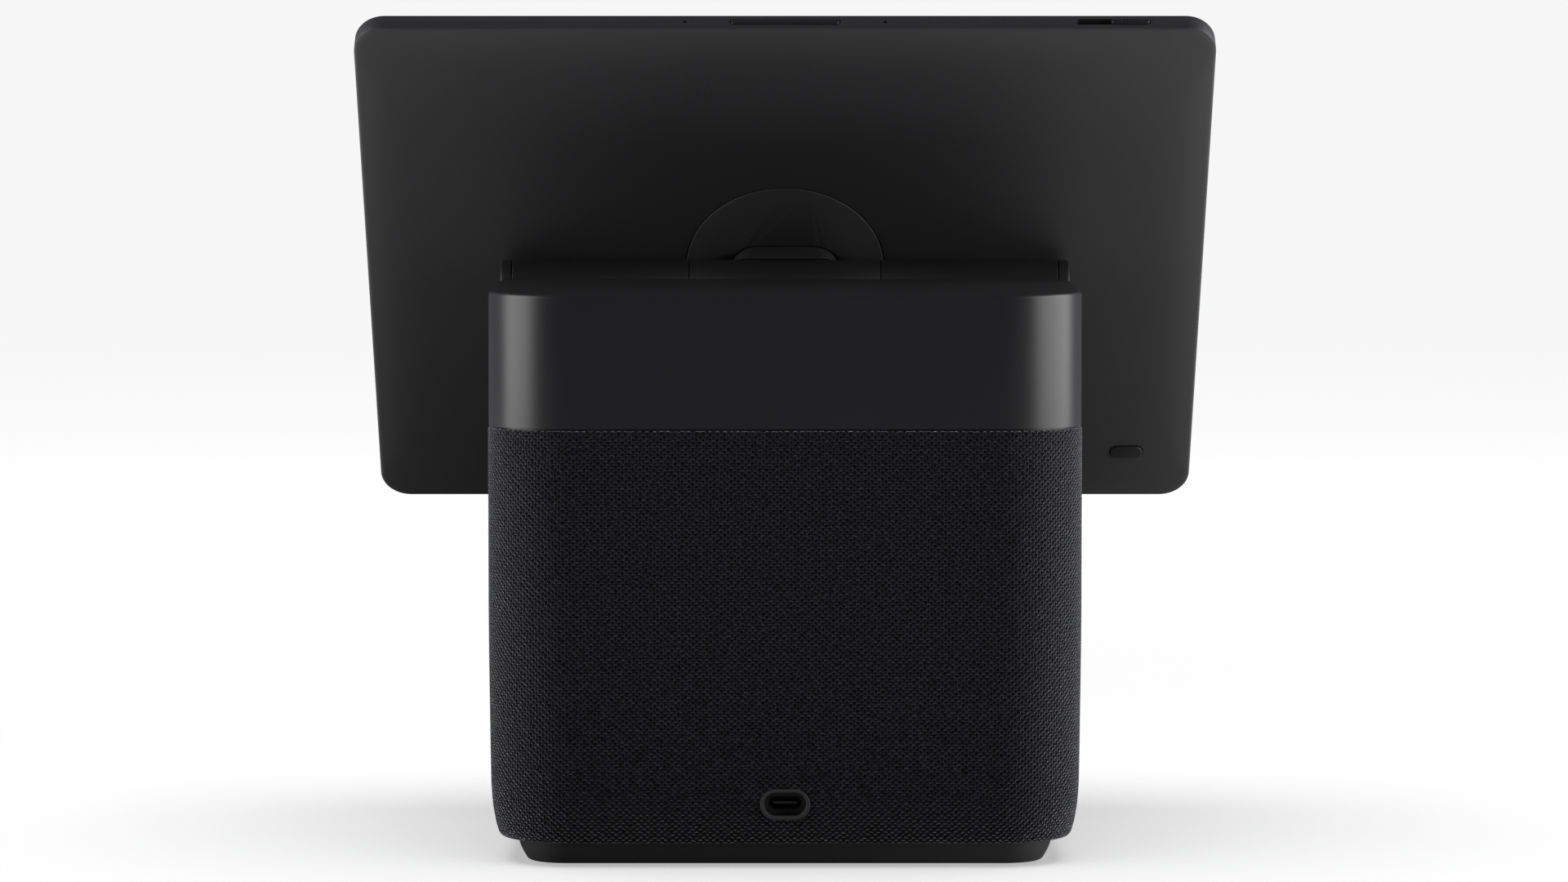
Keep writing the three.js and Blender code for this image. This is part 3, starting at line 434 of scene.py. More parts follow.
def woven_fabric():
    material, tree, principled = new_material("woven_fabric")
    where = place_of(tree)
    uv = add_node(tree, "ShaderNodeUVMap", uv_map="weave").outputs[0]
    cells = add_node(tree, "ShaderNodeSeparateXYZ", {0: uv})
    sway = noise(tree, where, 420.0, 1.0)
    drift = noise(tree, where, 610.0, 1.0)
    across = maths(tree, "ADD", cells.outputs[0], scaled(tree, sway, -0.24, 0.24))
    up = maths(tree, "ADD", cells.outputs[1], scaled(tree, drift, -0.24, 0.24))
    open_part, yarn_line = weave_pattern(tree, across, up)
    uneven = scaled(tree, noise(tree, where, 900.0, 1.0), -0.7, 0.7)
    # The sleeve has no real openings: its holes are painted shade, a near-black colour standing in for the
    # dark inside seen through the weave.
    hole = steps_between(tree, maths(tree, "ADD", open_part, uneven), -0.1, 0.35)
    # The yarn is drawn lighter along its arched ridge and darker off it: a painted highlight on the arches
    # and painted shade between them. The same ridge also raises the bump.
    ridge_and_highlight = steps_between(tree, yarn_line, 0.2, 0.92)
    fibres = noise(tree, stretched(tree, where, 1.0, 1.0, 2.2), 2600.0, 2.0, 0.6)
    mottle = noise(tree, where, 750.0, 3.0, 0.65)
    brightness = maths(tree, "MULTIPLY", scaled(tree, fibres, 0.2, 1.8), scaled(tree, mottle, -0.5, 2.5))
    # Painted highlight on the yarn's arches, times the random tone of fibres and mottle.
    yarn_tone_and_highlight = maths(tree, "MULTIPLY", scaled(tree, ridge_and_highlight, 0.32, 1.0), brightness)
    yarn = shades(tree, maths(tree, "MULTIPLY", yarn_tone_and_highlight, 0.5), grey(0.0), grey(0.046, YARN_TINT))
    # Painted shade: the holes take a near-black colour.
    colour = shades(tree, hole, yarn, grey(0.0008, 1.1))
    tree.links.new(colour, principled.inputs["Base Color"])
    principled.inputs["Roughness"].default_value = 0.85
    principled.inputs["Specular IOR Level"].default_value = 0.06
    principled.inputs["Sheen Weight"].default_value = 0.45
    principled.inputs["Sheen Roughness"].default_value = 0.25
    principled.inputs["Sheen Tint"].default_value = (0.93, 0.94, 1.0, 1)
    relief = maths(tree, "SUBTRACT", maths(tree, "MULTIPLY", ridge_and_highlight, 0.6), hole)
    relief = maths(tree, "ADD", relief, maths(tree, "MULTIPLY", fibres, 0.3))
    bumped(tree, principled, relief, 0.00045, 0.9)
    return material


def circuit_board():
    """Solder mask over copper tracks, with bare pads."""
    material, tree, principled = new_material("circuit_board")
    where = place_of(tree)
    inputs = {"Vector": where, "Scale": 140.0, "Mortar Size": 0.03}
    tracks = add_node(tree, "ShaderNodeTexBrick", inputs).outputs["Fac"]
    pads = add_node(tree, "ShaderNodeTexVoronoi", {"Vector": where, "Scale": 260.0}).outputs["Distance"]
    bare = steps_between(tree, pads, 0.16, 0.1)
    mask = shades(tree, tracks, (0.006, 0.05, 0.02, 1), (0.012, 0.085, 0.03, 1))
    tree.links.new(shades(tree, bare, mask, (0.6, 0.5, 0.28, 1)), principled.inputs["Base Color"])
    tree.links.new(bare, principled.inputs["Metallic"])
    principled.inputs["Roughness"].default_value = 0.4
    bumped(tree, principled, tracks, 0.00004)
    return material


# The picture area behind the glass, in metres from the hinge's axis along the display.
PICTURE_HALF_WIDTH = 0.1115
PICTURE_HALF_HEIGHT = 0.0705
PICTURE_CENTRE = -0.0025


def front_glass_material():
    """Black bordered glass. The picture area is a slightly different black, inside an even border."""
    material, tree, principled = new_material("front_glass")
    inputs = {0: place_of(tree), 1: tuple(HINGE * 0.001)}
    where = add_node(tree, "ShaderNodeVectorMath", inputs, operation="SUBTRACT")
    inputs = {"Vector": where.outputs[0], "Angle": LEAN}
    turned_back = add_node(tree, "ShaderNodeVectorRotate", inputs, rotation_type="X_AXIS")
    axes = add_node(tree, "ShaderNodeSeparateXYZ", {0: turned_back.outputs[0]})
    side = maths(tree, "SUBTRACT", maths(tree, "ABSOLUTE", axes.outputs[0]), PICTURE_HALF_WIDTH)
    upward = maths(tree, "ABSOLUTE", maths(tree, "ADD", axes.outputs[2], -PICTURE_CENTRE))
    outside = maths(tree, "MAXIMUM", side, maths(tree, "SUBTRACT", upward, PICTURE_HALF_HEIGHT))
    border = steps_between(tree, outside, -0.0001, 0.0001)
    colour = shades(tree, border, (0.0075, 0.008, 0.0095, 1), grey(0.0025))
    tree.links.new(colour, principled.inputs["Base Color"])
    smear = noise(tree, place_of(tree), 35.0, 4.0)
    tree.links.new(scaled(tree, smear, 0.035, 0.075), principled.inputs["Roughness"])
    principled.inputs["IOR"].default_value = 1.52
    return material


def clear_glass():
    material, tree, principled = new_material("camera_window")
    smear = noise(tree, place_of(tree), 300.0, 2.0)
    tree.links.new(scaled(tree, smear, 0.0, 0.03), principled.inputs["Roughness"])
    principled.inputs["Base Color"].default_value = (0.9, 0.92, 0.95, 1)
    principled.inputs["Transmission Weight"].default_value = 1.0
    principled.inputs["IOR"].default_value = 1.45
    return material


def screen_cell():
    material, tree, principled = new_material("screen_cell")
    lines = add_node(tree, "ShaderNodeTexWave", {"Vector": place_of(tree), "Scale": 600.0}).outputs["Fac"]
    tree.links.new(shades(tree, lines, grey(0.006, 1.2), grey(0.012, 1.2)), principled.inputs["Base Color"])
    principled.inputs["Roughness"].default_value = 0.2
    return material


def lens_glass():
    material, tree, principled = new_material("lens_glass")
    facets = noise(tree, place_of(tree), 500.0, 1.0)
    colour = shades(tree, facets, (0.004, 0.003, 0.01, 1), (0.01, 0.006, 0.02, 1))
    tree.links.new(colour, principled.inputs["Base Color"])
    principled.inputs["Roughness"].default_value = 0.03
    principled.inputs["Coat Weight"].default_value = 1.0
    return material


def cable_material():
    material, tree, principled = new_material("cable")
    strands = noise(tree, place_of(tree), 1400.0, 2.0)
    colour = shades(tree, strands, (0.2, 0.1, 0.04, 1), (0.34, 0.18, 0.07, 1))
    tree.links.new(colour, principled.inputs["Base Color"])
    principled.inputs["Roughness"].default_value = 0.5
    bumped(tree, principled, strands, 0.00005)
    return material


def glow_away_from(tree, principled, centre, reach, glow):
    """White light from a surface, that changes smoothly with the distance from a centre."""
    principled.inputs["Emission Color"].default_value = (1, 1, 1, 1)
    inputs = {0: place_of(tree), 1: centre}
    away = add_node(tree, "ShaderNodeVectorMath", inputs, operation="DISTANCE").outputs["Value"]
    tree.links.new(steps_between(tree, away, *reach, *glow), principled.inputs["Emission Strength"])


def floor_material():
    """A pale floor that brightens into the backdrop in the distance."""
    material, tree, principled = new_material("floor")
    cloud = noise(tree, place_of(tree), 1.5, 2.0)
    colour = shades(tree, cloud, grey(FLOOR_ALBEDO), grey(FLOOR_ALBEDO * 1.05))
    tree.links.new(colour, principled.inputs["Base Color"])
    principled.inputs["Roughness"].default_value = 0.9
    principled.inputs["Specular IOR Level"].default_value = 0.1
    glow_away_from(tree, principled, FLOOR_CENTRE, FLOOR_REACH, FLOOR_GLOW)
    return material


def reflector_material():
    """The floor's light on the object: dim in the object's own shade and brighter away from it."""
    material, tree, principled = new_material("reflector")
    cloud = noise(tree, place_of(tree), 1.5)
    tree.links.new(shades(tree, cloud, grey(0.0), grey(0.001)), principled.inputs["Base Color"])
    principled.inputs["Specular IOR Level"].default_value = 0.0
    glow_away_from(tree, principled, REFLECTOR_CENTRE, REFLECTOR_REACH, REFLECTOR_GLOW)
    return material


# Each one's grey level, roughness, grain, depth of grain and index of refraction.
MOULDED = {
    "rubber": (0.012, 0.8, 1800.0, 0.00006, 1.4),
    "matte_plastic": (0.02, 0.52, 2600.0, 0.00002),
    "satin_plastic": (0.014, 0.34, 2600.0, 0.000012, 1.34),
    "inner_plastic": (0.03, 0.6, 1500.0, 0.00004),
    "port_plastic": (0.02, 0.65, 2600.0, 0.00002, 1.36),
    "hinge_plastic": (0.006, 0.55, 2600.0, 0.00002, 1.33),
    "painted_alloy": (0.01, 0.5, 2200.0, 0.00002, 1.4),
    "magnet": (0.03, 0.5, 700.0, 0.0001, 1.9),
    "cone": (0.02, 0.85, 1200.0, 0.00025),
}

# Each one's grey level, roughness, stretch of its grain and depth of grain.
BRUSHED = (1.0, 1.0, 0.15)
METALS = {
    "steel": (0.45, 0.32, BRUSHED, 0.00001),
    "cast_alloy": (0.32, 0.48, (1.0, 1.0, 1.0), 0.00006),
    "dark_steel": (0.012, 0.5, BRUSHED, 0.00001),
}

MATERIALS = {
    **{name: moulded(name, *values) for name, values in MOULDED.items()},
    **{name: metal(name, *values) for name, values in METALS.items()},
    "woven_fabric": woven_fabric(),
    "circuit_board": circuit_board(),
    "front_glass": front_glass_material(),
    "screen_cell": screen_cell(),
    "lens_glass": lens_glass(),
    "cable": cable_material(),
}

# ---------------------------------------------------------------- mesh building

CORNER_STEPS = 20
ROUND_STEPS = 128
SMALL_STEPS = 48
SHARP_ANGLE = math.radians(32)
SMALLEST_CORNER = 0.6


def plan_ring(plan, inset, height, growth=-1.0, steps=CORNER_STEPS):
    """A rounded rectangle moved in by inset, anticlockwise from above. Corners grow by growth times inset."""
    right = plan["width"] / 2 - inset
    low = plan["centre"] - plan["depth"] / 2 + inset
    high = plan["centre"] + plan["depth"] / 2 - inset
    most = (high - low) * 0.48
    front = min(max(plan["front"] + growth * inset, SMALLEST_CORNER), most)
    rear = min(max(plan["rear"] + growth * inset, SMALLEST_CORNER), most)
    corners = [
        (right - front, low + front, front, -math.pi / 2),
        (right - rear, high - rear, rear, 0.0),
        (-right + rear, high - rear, rear, math.pi / 2),
        (-right + front, low + front, front, math.pi),
    ]
    ring = []
    for x, y, radius, start in corners:
        for i in range(steps + 1):
            angle = start + (i / steps) * (math.pi / 2)
            ring.append(Vector((x + radius * math.cos(angle), y + radius * math.sin(angle), height)))
    return ring


def obround_ring(length, height, level, steps=16):
    """Two half circles joined by straight lines."""
    radius = height / 2
    reach = max(length / 2 - radius, 0)
    ring = []
    for side, start in ((1, -math.pi / 2), (-1, math.pi / 2)):
        for i in range(steps + 1):
            angle = start + math.pi * i / steps
            ring.append(Vector((side * reach + radius * math.cos(angle), radius * math.sin(angle), level)))
    return ring


def obround_rings(length, height, levels):
    """Obrounds moved in by (inset, level) pairs."""
    return [obround_ring(length - 2 * inset, height - 2 * inset, level) for inset, level in levels]


def fillet(inset, height, radius, outward, upward, steps=5):
    """A quarter round from a vertical side to a level top, as (inset, height) pairs.

    It starts at (inset, height - upward * radius) and ends at (inset + outward * radius, height).
    """
    points = []
    for i in range(steps + 1):
        angle = (i / steps) * (math.pi / 2)
        across = inset + outward * radius * (1 - math.cos(angle))
        points.append((across, height - upward * radius * (1 - math.sin(angle))))
    return points


def mesh_object(name, vertices, faces, matrix):
    """A mesh object, still in millimetres, placed by a matrix."""
    mesh = bpy.data.meshes.new(name)
    mesh.from_pydata([matrix @ v for v in vertices], [], faces)
    work = bmesh.new()
    work.from_mesh(mesh)
    bmesh.ops.recalc_face_normals(work, faces=work.faces)
    work.to_mesh(mesh)
    work.free()
    obj = bpy.data.objects.new(name, mesh)
    scene.collection.objects.link(obj)
    return obj


def loft(name, rings, matrix, closed=False):
    """A solid through rings that all have the same number of points. An open one is capped at both ends."""
    count = len(rings[0])
    vertices = [v for ring in rings for v in ring]
    faces = []
    spans = len(rings) if closed else len(rings) - 1
    for level in range(spans):
        lower = level * count
        upper = ((level + 1) % len(rings)) * count
        for i in range(count):
            following = (i + 1) % count
            faces.append((lower + i, lower + following, upper + following, upper + i))
    if not closed:
        faces.append(tuple(reversed(range(count))))
        faces.append(tuple(range((len(rings) - 1) * count, len(rings) * count)))
    return mesh_object(name, vertices, faces, matrix)


def lathe(name, profile, matrix, steps=ROUND_STEPS):
    """A turned solid round +z. Its (radius, height) profile is a loop, or starts and ends on the axis."""
    on_axis = profile[0][0] == 0
    inner = profile[1:-1] if on_axis else profile
    rings = []
    for radius, height in inner:
        turns = [2 * math.pi * i / steps for i in range(steps)]
        rings.append([Vector((radius * math.cos(a), radius * math.sin(a), height)) for a in turns])
    return loft(name, rings, matrix, closed=not on_axis)


def rod(radius, low, high, matrix, steps=ROUND_STEPS):
    """A plain round cutting tool."""
    return lathe("tool", [(0, low), (radius, low), (radius, high), (0, high)], matrix, steps)


def block(name, width, depth, height, centre, matrix):
    x, y, z = width / 2, depth / 2, height / 2
    corners = [(-x, -y), (x, -y), (x, y), (-x, y)]
    rings = [[Vector((a, b, level)) + Vector(centre) for a, b in corners] for level in (-z, z)]
    return loft(name, rings, matrix)


def combine(obj, tools, operation="DIFFERENCE", solver="MANIFOLD"):
    """Cuts or joins tools, which are then removed."""
    for tool in tools:
        modifier = obj.modifiers.new("combine", "BOOLEAN")
        modifier.operation = operation
        modifier.solver = solver
        modifier.object = tool
    bpy.context.view_layer.update()
    graph = bpy.context.evaluated_depsgraph_get()
    mesh = bpy.data.meshes.new_from_object(obj.evaluated_get(graph))
    obj.modifiers.clear()
    obj.data = mesh
    for tool in tools:
        bpy.data.objects.remove(tool)
    return obj


def shade(obj, angle=SHARP_ANGLE):
    obj.data.shade_smooth()
    obj.data.set_sharp_from_angle(angle=angle)


def install(obj, material, body, nodes=()):
    """Finishes a piece: metres, smooth faces, a material, the body it rides on, the nodes it stands for."""
    obj.data.transform(TO_METRES)
    shade(obj)
    obj.data.materials.clear()
    obj.data.materials.append(MATERIALS[material] if isinstance(material, str) else material)
    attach(obj, body)
    if nodes:
        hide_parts(*nodes)
    return obj


def moved(x, y, z=0.0):
    return Matrix.Translation((x, y, z))


# ---------------------------------------------------------------- speaker block

FOOT_INSET = 18.0
FOOT_RECESS = 1.5
SCREW_X = 58.0
SCREW_Y = 27.0
SCREW_HOLE = 1.8
COUNTERBORE = 3.3
HEXAGON_RADIUS = 1.25
PLINTH = {"width": BODY["width"], "depth": BODY["depth"] + 5.2, "centre": 0.0, "front": 12.0, "rear": 23.0}
PLINTH_PROFILE = [
    (14, 0.45), (12.6, 0.47), (11.9, 0.55), (11.5, 0.7), (11.2, 0.9), (10.9, 1.3), (10.6, 1.8), (10.2, 2.5),
    (9.8, 3.2), (9.45, 4.0), (9.1, 4.8), (8.8, 5.8), (8.6, 6.8), (8.6, 8.3),
]
PLINTH_HOLLOW = [(14, 5), (11.5, 6), (11.5, 9.3)]


def screw_places():
    return [(x * SCREW_X, y * SCREW_Y) for x, y in ((-1, -1), (1, -1), (-1, 1), (1, 1))]


def make_plinth():
    outside = loft("plinth", [plan_ring(PLINTH, inset, z) for inset, z in PLINTH_PROFILE], BLOCK)
    hollow = loft("tool", [plan_ring(BODY, inset, z) for inset, z in PLINTH_HOLLOW], BLOCK)
    recess = loft("tool", [plan_ring(BODY, FOOT_INSET - GAP, z) for z in (-1, FOOT_RECESS)], BLOCK)
    tools = [hollow, recess]
    for x, y in screw_places():
        tools.append(rod(COUNTERBORE, -1, 3.3, BLOCK @ moved(x, y), SMALL_STEPS))
        tools.append(rod(SCREW_HOLE, 0, 6, BLOCK @ moved(x, y), SMALL_STEPS))
    install(combine(outside, tools), "matte_plastic", "speaker", ["base_plinth"])


def make_foot():
    profile = [(FOOT_INSET + 0.4, 0), (FOOT_INSET + 0.12, 0.1), (FOOT_INSET, 0.4), (FOOT_INSET, 1.4)]
    pad = loft("foot", [plan_ring(BODY, inset, z) for inset, z in profile], BLOCK)
    install(pad, "rubber", "speaker", ["foot_pad"])


def make_base_screws():
    profile = [(0, 1.7), (2.6, 1.7), (2.9, 2.0), (2.9, 3.1), (1.4, 3.1), (1.4, 12.4), (0, 12.8)]
    for number, (x, y) in enumerate(screw_places(), 1):
        screw = lathe(f"base_screw_{number}_fine", profile, BLOCK @ moved(x, y), SMALL_STEPS)
        socket = rod(HEXAGON_RADIUS, 1, 2.7, BLOCK @ moved(x, y), 6)
        install(combine(screw, [socket]), "steel", "speaker", [f"base_screw_{number}"])


def sleeve_profile():
    """The sleeve's section as (inset, height): up the outside and over the top edge, then down the inside."""
    outside = [
        (5.2, SLEEVE_BOTTOM), (4.7, SLEEVE_BOTTOM), (4.2, SLEEVE_BOTTOM + 0.03), (3.8, 6.95), (3.4, 7.2),
        (3.05, 7.6), (2.75, 8.1), (2.45, 9.0), (2.0, 10.6), (1.6, 12.6), (1.15, 15.2), (0.85, 18.2),
        (0.62, 21.8), (0.5, 27), (0.4, 34), (0.25, 46), (0.08, 60), (0, 72), (0, 100),
    ]
    outside += fillet(0, SLEEVE_TOP, SLEEVE_EDGE, 1, 1, 4)
    outside += [(SLEEVE_THICKNESS - 0.2, SLEEVE_TOP), (SLEEVE_THICKNESS, SLEEVE_TOP - 0.2)]
    inside = [(SLEEVE_THICKNESS, 70), (1.75, 34), (1.9, 22), (2.5, 15), (3.3, 11.2), (4.1, 8.9)]
    inside += [(4.6, 8.1), (5.2, 8.1)]
    return outside, inside


def path_lengths(points):
    """The distance along a path at each of its points."""
    lengths = [0.0]
    for first, second in zip(points, points[1:]):
        lengths.append(lengths[-1] + math.dist(first, second))
    return lengths


def closed_lengths(points):
    """The same along a closed path, with its full length at the end."""
    return path_lengths([*points, points[0]])


def lay_weave(mesh, ring, profile):
    """A map that counts weave cells round the sleeve and along its section."""
    round_trip = closed_lengths(ring)
    cells_round = round(round_trip[-1] / WEAVE_WIDTH)
    across = [length / round_trip[-1] * cells_round for length in round_trip]
    up = [length / WEAVE_HEIGHT for length in closed_lengths(profile)]
    layer = mesh.uv_layers.new(name="weave")
    count = len(ring)
    levels = len(profile)
    for polygon in mesh.polygons:
        corners = [divmod(mesh.loops[i].vertex_index, count) for i in polygon.loop_indices]
        wraps_round = {i for _, i in corners} == {0, count - 1}
        wraps_section = {level for level, _ in corners} == {0, levels - 1}
        for loop, (level, i) in zip(polygon.loop_indices, corners):
            u = across[count] if wraps_round and i == 0 else across[i]
            v = up[levels] if wraps_section and level == 0 else up[level]
            layer.data[loop].uv = (u, v)
    mesh.uv_layers.active = layer
    layer.active_render = True


def make_sleeve():
    outside, inside = sleeve_profile()
    profile = outside + inside
    sleeve = loft("sleeve", [plan_ring(BODY, inset, z) for inset, z in profile], BLOCK, closed=True)
    ring = plan_ring(BODY, 0, 0)
    lay_weave(sleeve.data, ring, profile)
    levels = [(0, BODY_REAR - 6), (0, BODY_REAR + 2)]
    hole = loft("tool", obround_rings(PORT_LENGTH + GAP, PORT_HEIGHT + GAP, levels), REARWARD)
    combine(sleeve, [hole], solver="EXACT")
    install(sleeve, "woven_fabric", "speaker", ["fabric_sleeve"])


def raised(ring):
    """The collar's top rises gently from the rear edge to the hinge."""
    return [Vector((v.x, v.y, v.z + (BODY_REAR - v.y) * COLLAR_SLOPE)) for v in ring]


def make_collar():
    low = [(RABBET_INSET, COLLAR_LIP), (RABBET_INSET, COLLAR_BOTTOM)]
    low += [(COLLAR_INSET + COLLAR_LOWER_EDGE, COLLAR_BOTTOM), (COLLAR_INSET + 0.09, COLLAR_BOTTOM + 0.09)]
    low += [(COLLAR_INSET, COLLAR_BOTTOM + COLLAR_LOWER_EDGE)]
    rings = [plan_ring(BODY, inset, z) for inset, z in low]
    top = fillet(COLLAR_INSET, COLLAR_TOP, COLLAR_EDGE, 1, 1, 6)
    rings += [raised(plan_ring(BODY, inset, z)) for inset, z in top]
    collar = loft("collar_fine", rings, BLOCK)
    inner = COLLAR_INSET + COLLAR_WALL
    ceiling = raised(plan_ring(BODY, inner, COLLAR_TOP - COLLAR_WALL))
    hollow = loft("tool", [plan_ring(BODY, inner, 122), ceiling], BLOCK)
    combine(hollow, [rod(TROUGH_RADIUS, -100, 100, HINGE_LINE)])
    notch = rod(NOTCH_RADIUS, -100, 100, HINGE_LINE)
    slots = [block("tool", 2.6, 6.6, 20, (s * KEY_MIDDLE, HINGE.y, HINGE.z - 10), BLOCK) for s in (-1, 1)]
    drop = NECK_HEIGHT / 2 + 2 * GAP
    window = block("tool", NECK_LENGTH + 2, 8, 20, (0, HINGE.y - 6.8, HINGE.z - drop + 10), BLOCK)
    combine(collar, [hollow, notch, *slots, window])
    install(collar, "satin_plastic", "speaker", ["collar"])


CHEEK_EDGE = [(0, 0.6), (0.1, 0.25), (0.3, 0.06), (0.6, 0)]


def make_cheeks():
    for side, name in ((-1, "left"), (1, "right")):
        inner, end = side * CHEEK_INNER, side * CHEEK_END
        profile = [(0, inner), (BARREL_RADIUS - 0.15, inner), (BARREL_RADIUS, inner + side * 0.15)]
        profile += [(BARREL_RADIUS - inward, end - side * back) for inward, back in CHEEK_EDGE]
        profile += [(0, end)]
        cheek = lathe(f"hinge_end_{name}", profile, HINGE_LINE)
        key = block("tool", 1.6, 5.6, 11, (side * KEY_MIDDLE, HINGE.y, HINGE.z - 9.9), BLOCK)
        combine(cheek, [key], "UNION")
        install(cheek, "hinge_plastic", "speaker", [f"hinge_cheek_{name}"])


def make_port():
    back = PORT_FLOOR - PORT_WALL
    outer = [(0, back), *fillet(0, PORT_FACE, PORT_EDGE, 1, 1)]
    outer += [*reversed(fillet(PORT_RIM, PORT_FACE, PORT_EDGE, -1, 1)), (PORT_RIM, PORT_FLOOR)]
    rings = obround_rings(PORT_LENGTH, PORT_HEIGHT, outer)
    rings += [obround_ring(*PORT_OPENING, level) for level in (PORT_FLOOR, back)]
    bezel = loft("port_surround", rings, REARWARD, closed=True)
    install(bezel, "port_plastic", "speaker", ["port_bezel"])
    depth = PORT_FLOOR - SHELL_DEPTH
    lips = [(*SHELL_OUTER, depth), (*SHELL_OUTER, PORT_FLOOR), (8.84, 3.1, PORT_FLOOR + 0.1)]
    lips += [(8.44, 2.66, PORT_FLOOR + 0.1), (*SHELL_INNER, PORT_FLOOR), (*SHELL_INNER, depth + SHELL_FLOOR)]
    shell = loft("port_socket", [obround_ring(*lip) for lip in lips], REARWARD)
    install(shell, "dark_steel", "speaker", ["port_shell"])


# ---------------------------------------------------------------- turning half of the hinge


def make_barrel():
    end, edge = BARREL_END, BARREL_EDGE
    half, depth = GROOVE_WIDTH / 2, GROOVE_DEPTH
    groove = [(0, -half), (depth * 0.15, -half * 0.7), (depth, -half * 0.2), (depth, half * 0.2)]
    groove += [(depth * 0.15, half * 0.7), (0, half)]
    profile = [(BARREL_BORE, -end), (BARREL_RADIUS - edge, -end), (BARREL_RADIUS, -end + edge)]
    for middle in (-GROOVE_X, GROOVE_X):
        profile += [(BARREL_RADIUS - inward, middle + along) for inward, along in groove]
    profile += [(BARREL_RADIUS, end - edge), (BARREL_RADIUS - edge, end), (BARREL_BORE, end)]
    barrel = lathe("hinge_bar", profile, TURNING_LINE)
    channel = block("tool", 5, 5, 6, (0, 0, 7), SLAB)
    combine(barrel, [channel])
    install(barrel, "hinge_plastic", "screen", ["hinge_barrel"])


def make_neck():
    near, far = FLANGE_NEAR, FLANGE_FAR
    boss = loft("neck", obround_rings(NECK_LENGTH, NECK_HEIGHT, [(0, 2), (0, near + 0.5)]), SLAB)
    places = [SLAB @ moved(x * NECK_SCREW_X, z * NECK_SCREW_Z) for x in (-1, 1) for z in (-1, 1)]
    combine(boss, [rod(NECK_SCREW_HEAD, 9, near, place, SMALL_STEPS) for place in places])
    combine(boss, [block("tool", *FLANGE_SIZE, far - near, (0, 0, (near + far) / 2), SLAB)], "UNION")
    holes = [rod(NECK_SCREW_HOLE, 10, 15, place, SMALL_STEPS) for place in places]
    saddle = rod(BARREL_RADIUS + GAP, -40, 40, TURNING_LINE)
    channel = block("tool", CABLE_WAY, CABLE_WAY, near, (0, 0, near / 2), SLAB)
    entry = block("tool", CABLE_WAY, 12, near - ENTRY_NEAR, (0, 4.2, (ENTRY_NEAR + near) / 2), SLAB)
    combine(boss, [saddle, channel, entry, *holes])
    install(boss, "painted_alloy", "screen", ["hinge_neck"])


def make_hub():
    chamfer = HUB_CHAMFER
    profile = [
        (0, HUB_FACE), (HUB_RADIUS - chamfer, HUB_FACE), (HUB_RADIUS - 0.12, HUB_FACE + 0.2),
        (HUB_RADIUS, HUB_FACE + chamfer), (HUB_RADIUS, HUB_BACK), (HUB_INNER, HUB_BACK), (HUB_INNER, HUB_WEB),
        (0, HUB_WEB),
    ]
    hub = lathe("hub", profile, SLAB)
    length, height = NECK_LENGTH + 2 * GAP, NECK_HEIGHT + 2 * GAP
    lip = 0.35
    levels = [(-lip - 0.1, 9.0), (-lip, HUB_FACE), (-0.1, HUB_FACE + 0.12), (0, HUB_FACE + lip), (0, 13)]
    combine(hub, [loft("tool", obround_rings(length, height, levels), SLAB)])
    install(hub, "matte_plastic", "screen", ["hub_disc"])


# ---------------------------------------------------------------- display housing

COVER_OUTSIDE = [
    (40, 10.55), (30, 10.56), (24, 10.58), (18, BACK_APEX), (15, 10.64), (12, 10.7), (9.5, 10.84), (7, 11.05),
    (5, 11.3), (3, 11.65), (1.6, 11.93), (0.8, 12.1), (0.35, 12.26), (0.1, 12.5), (0, 12.8),
    (0, RIM_FRONT - 0.25), (0.07, RIM_FRONT - 0.07), (0.25, RIM_FRONT),
]
COVER_INSIDE = [(19, 12.2), (13, 12.3), (8, 12.7), (4, 13.3), (1.6, 14), (1.6, RIM_FRONT + 1)]


def slot_tool(length, width, x, low, high):
    """An obround through the display's top edge."""
    place = DISPLAY @ moved(x, -SIDE_MIDDLE)
    return loft("tool", [obround_ring(length, width, level) for level in (low, high)], place)


def make_cover():
    growths = [1.5 if inset > 0.3 else -1.0 for inset, _ in COVER_OUTSIDE]
    rings = [plan_ring(PANEL, inset, d, growth) for (inset, d), growth in zip(COVER_OUTSIDE, growths)]
    outside = loft("housing", rings, SLAB)
    inside = loft("tool", [plan_ring(PANEL, inset, d, -1.0) for inset, d in COVER_INSIDE], SLAB)
    rebate = loft("tool", [plan_ring(PANEL, REBATE_INSET, d) for d in (REBATE_BACK, RIM_FRONT + 1)], SLAB)
    hub = rod(HUB_RADIUS + GAP, 9, 13.5, SLAB)
    low, high = PANEL_TOP - 4, PANEL_TOP + 2
    key_slot = slot_tool(KEY_LENGTH + 2 * GAP, KEY_WIDTH + 2 * GAP, 0, low, high)
    shutter_length = SHUTTER_KNOB + SHUTTER_TRAVEL + 2 * GAP
    shutter_middle = SHUTTER_OUTER - GAP + shutter_length / 2
    shutter_slot = slot_tool(shutter_length, KEY_WIDTH + GAP, shutter_middle, low, high)
    hole = MICROPHONE_HOLE
    microphones = [slot_tool(hole, hole, side * MICROPHONE_X, low, high) for side in (-1, 1)]
    rings = obround_rings(MUTE_LENGTH + 2 * GAP, MUTE_HEIGHT + 2 * GAP, [(0, 9), (0, 13)])
    mute = loft("tool", rings, SLAB @ moved(MUTE_X, MUTE_Z))
    combine(outside, [inside, rebate, hub, key_slot, shutter_slot, *microphones, mute])
    install(outside, "matte_plastic", "screen", ["back_cover"])


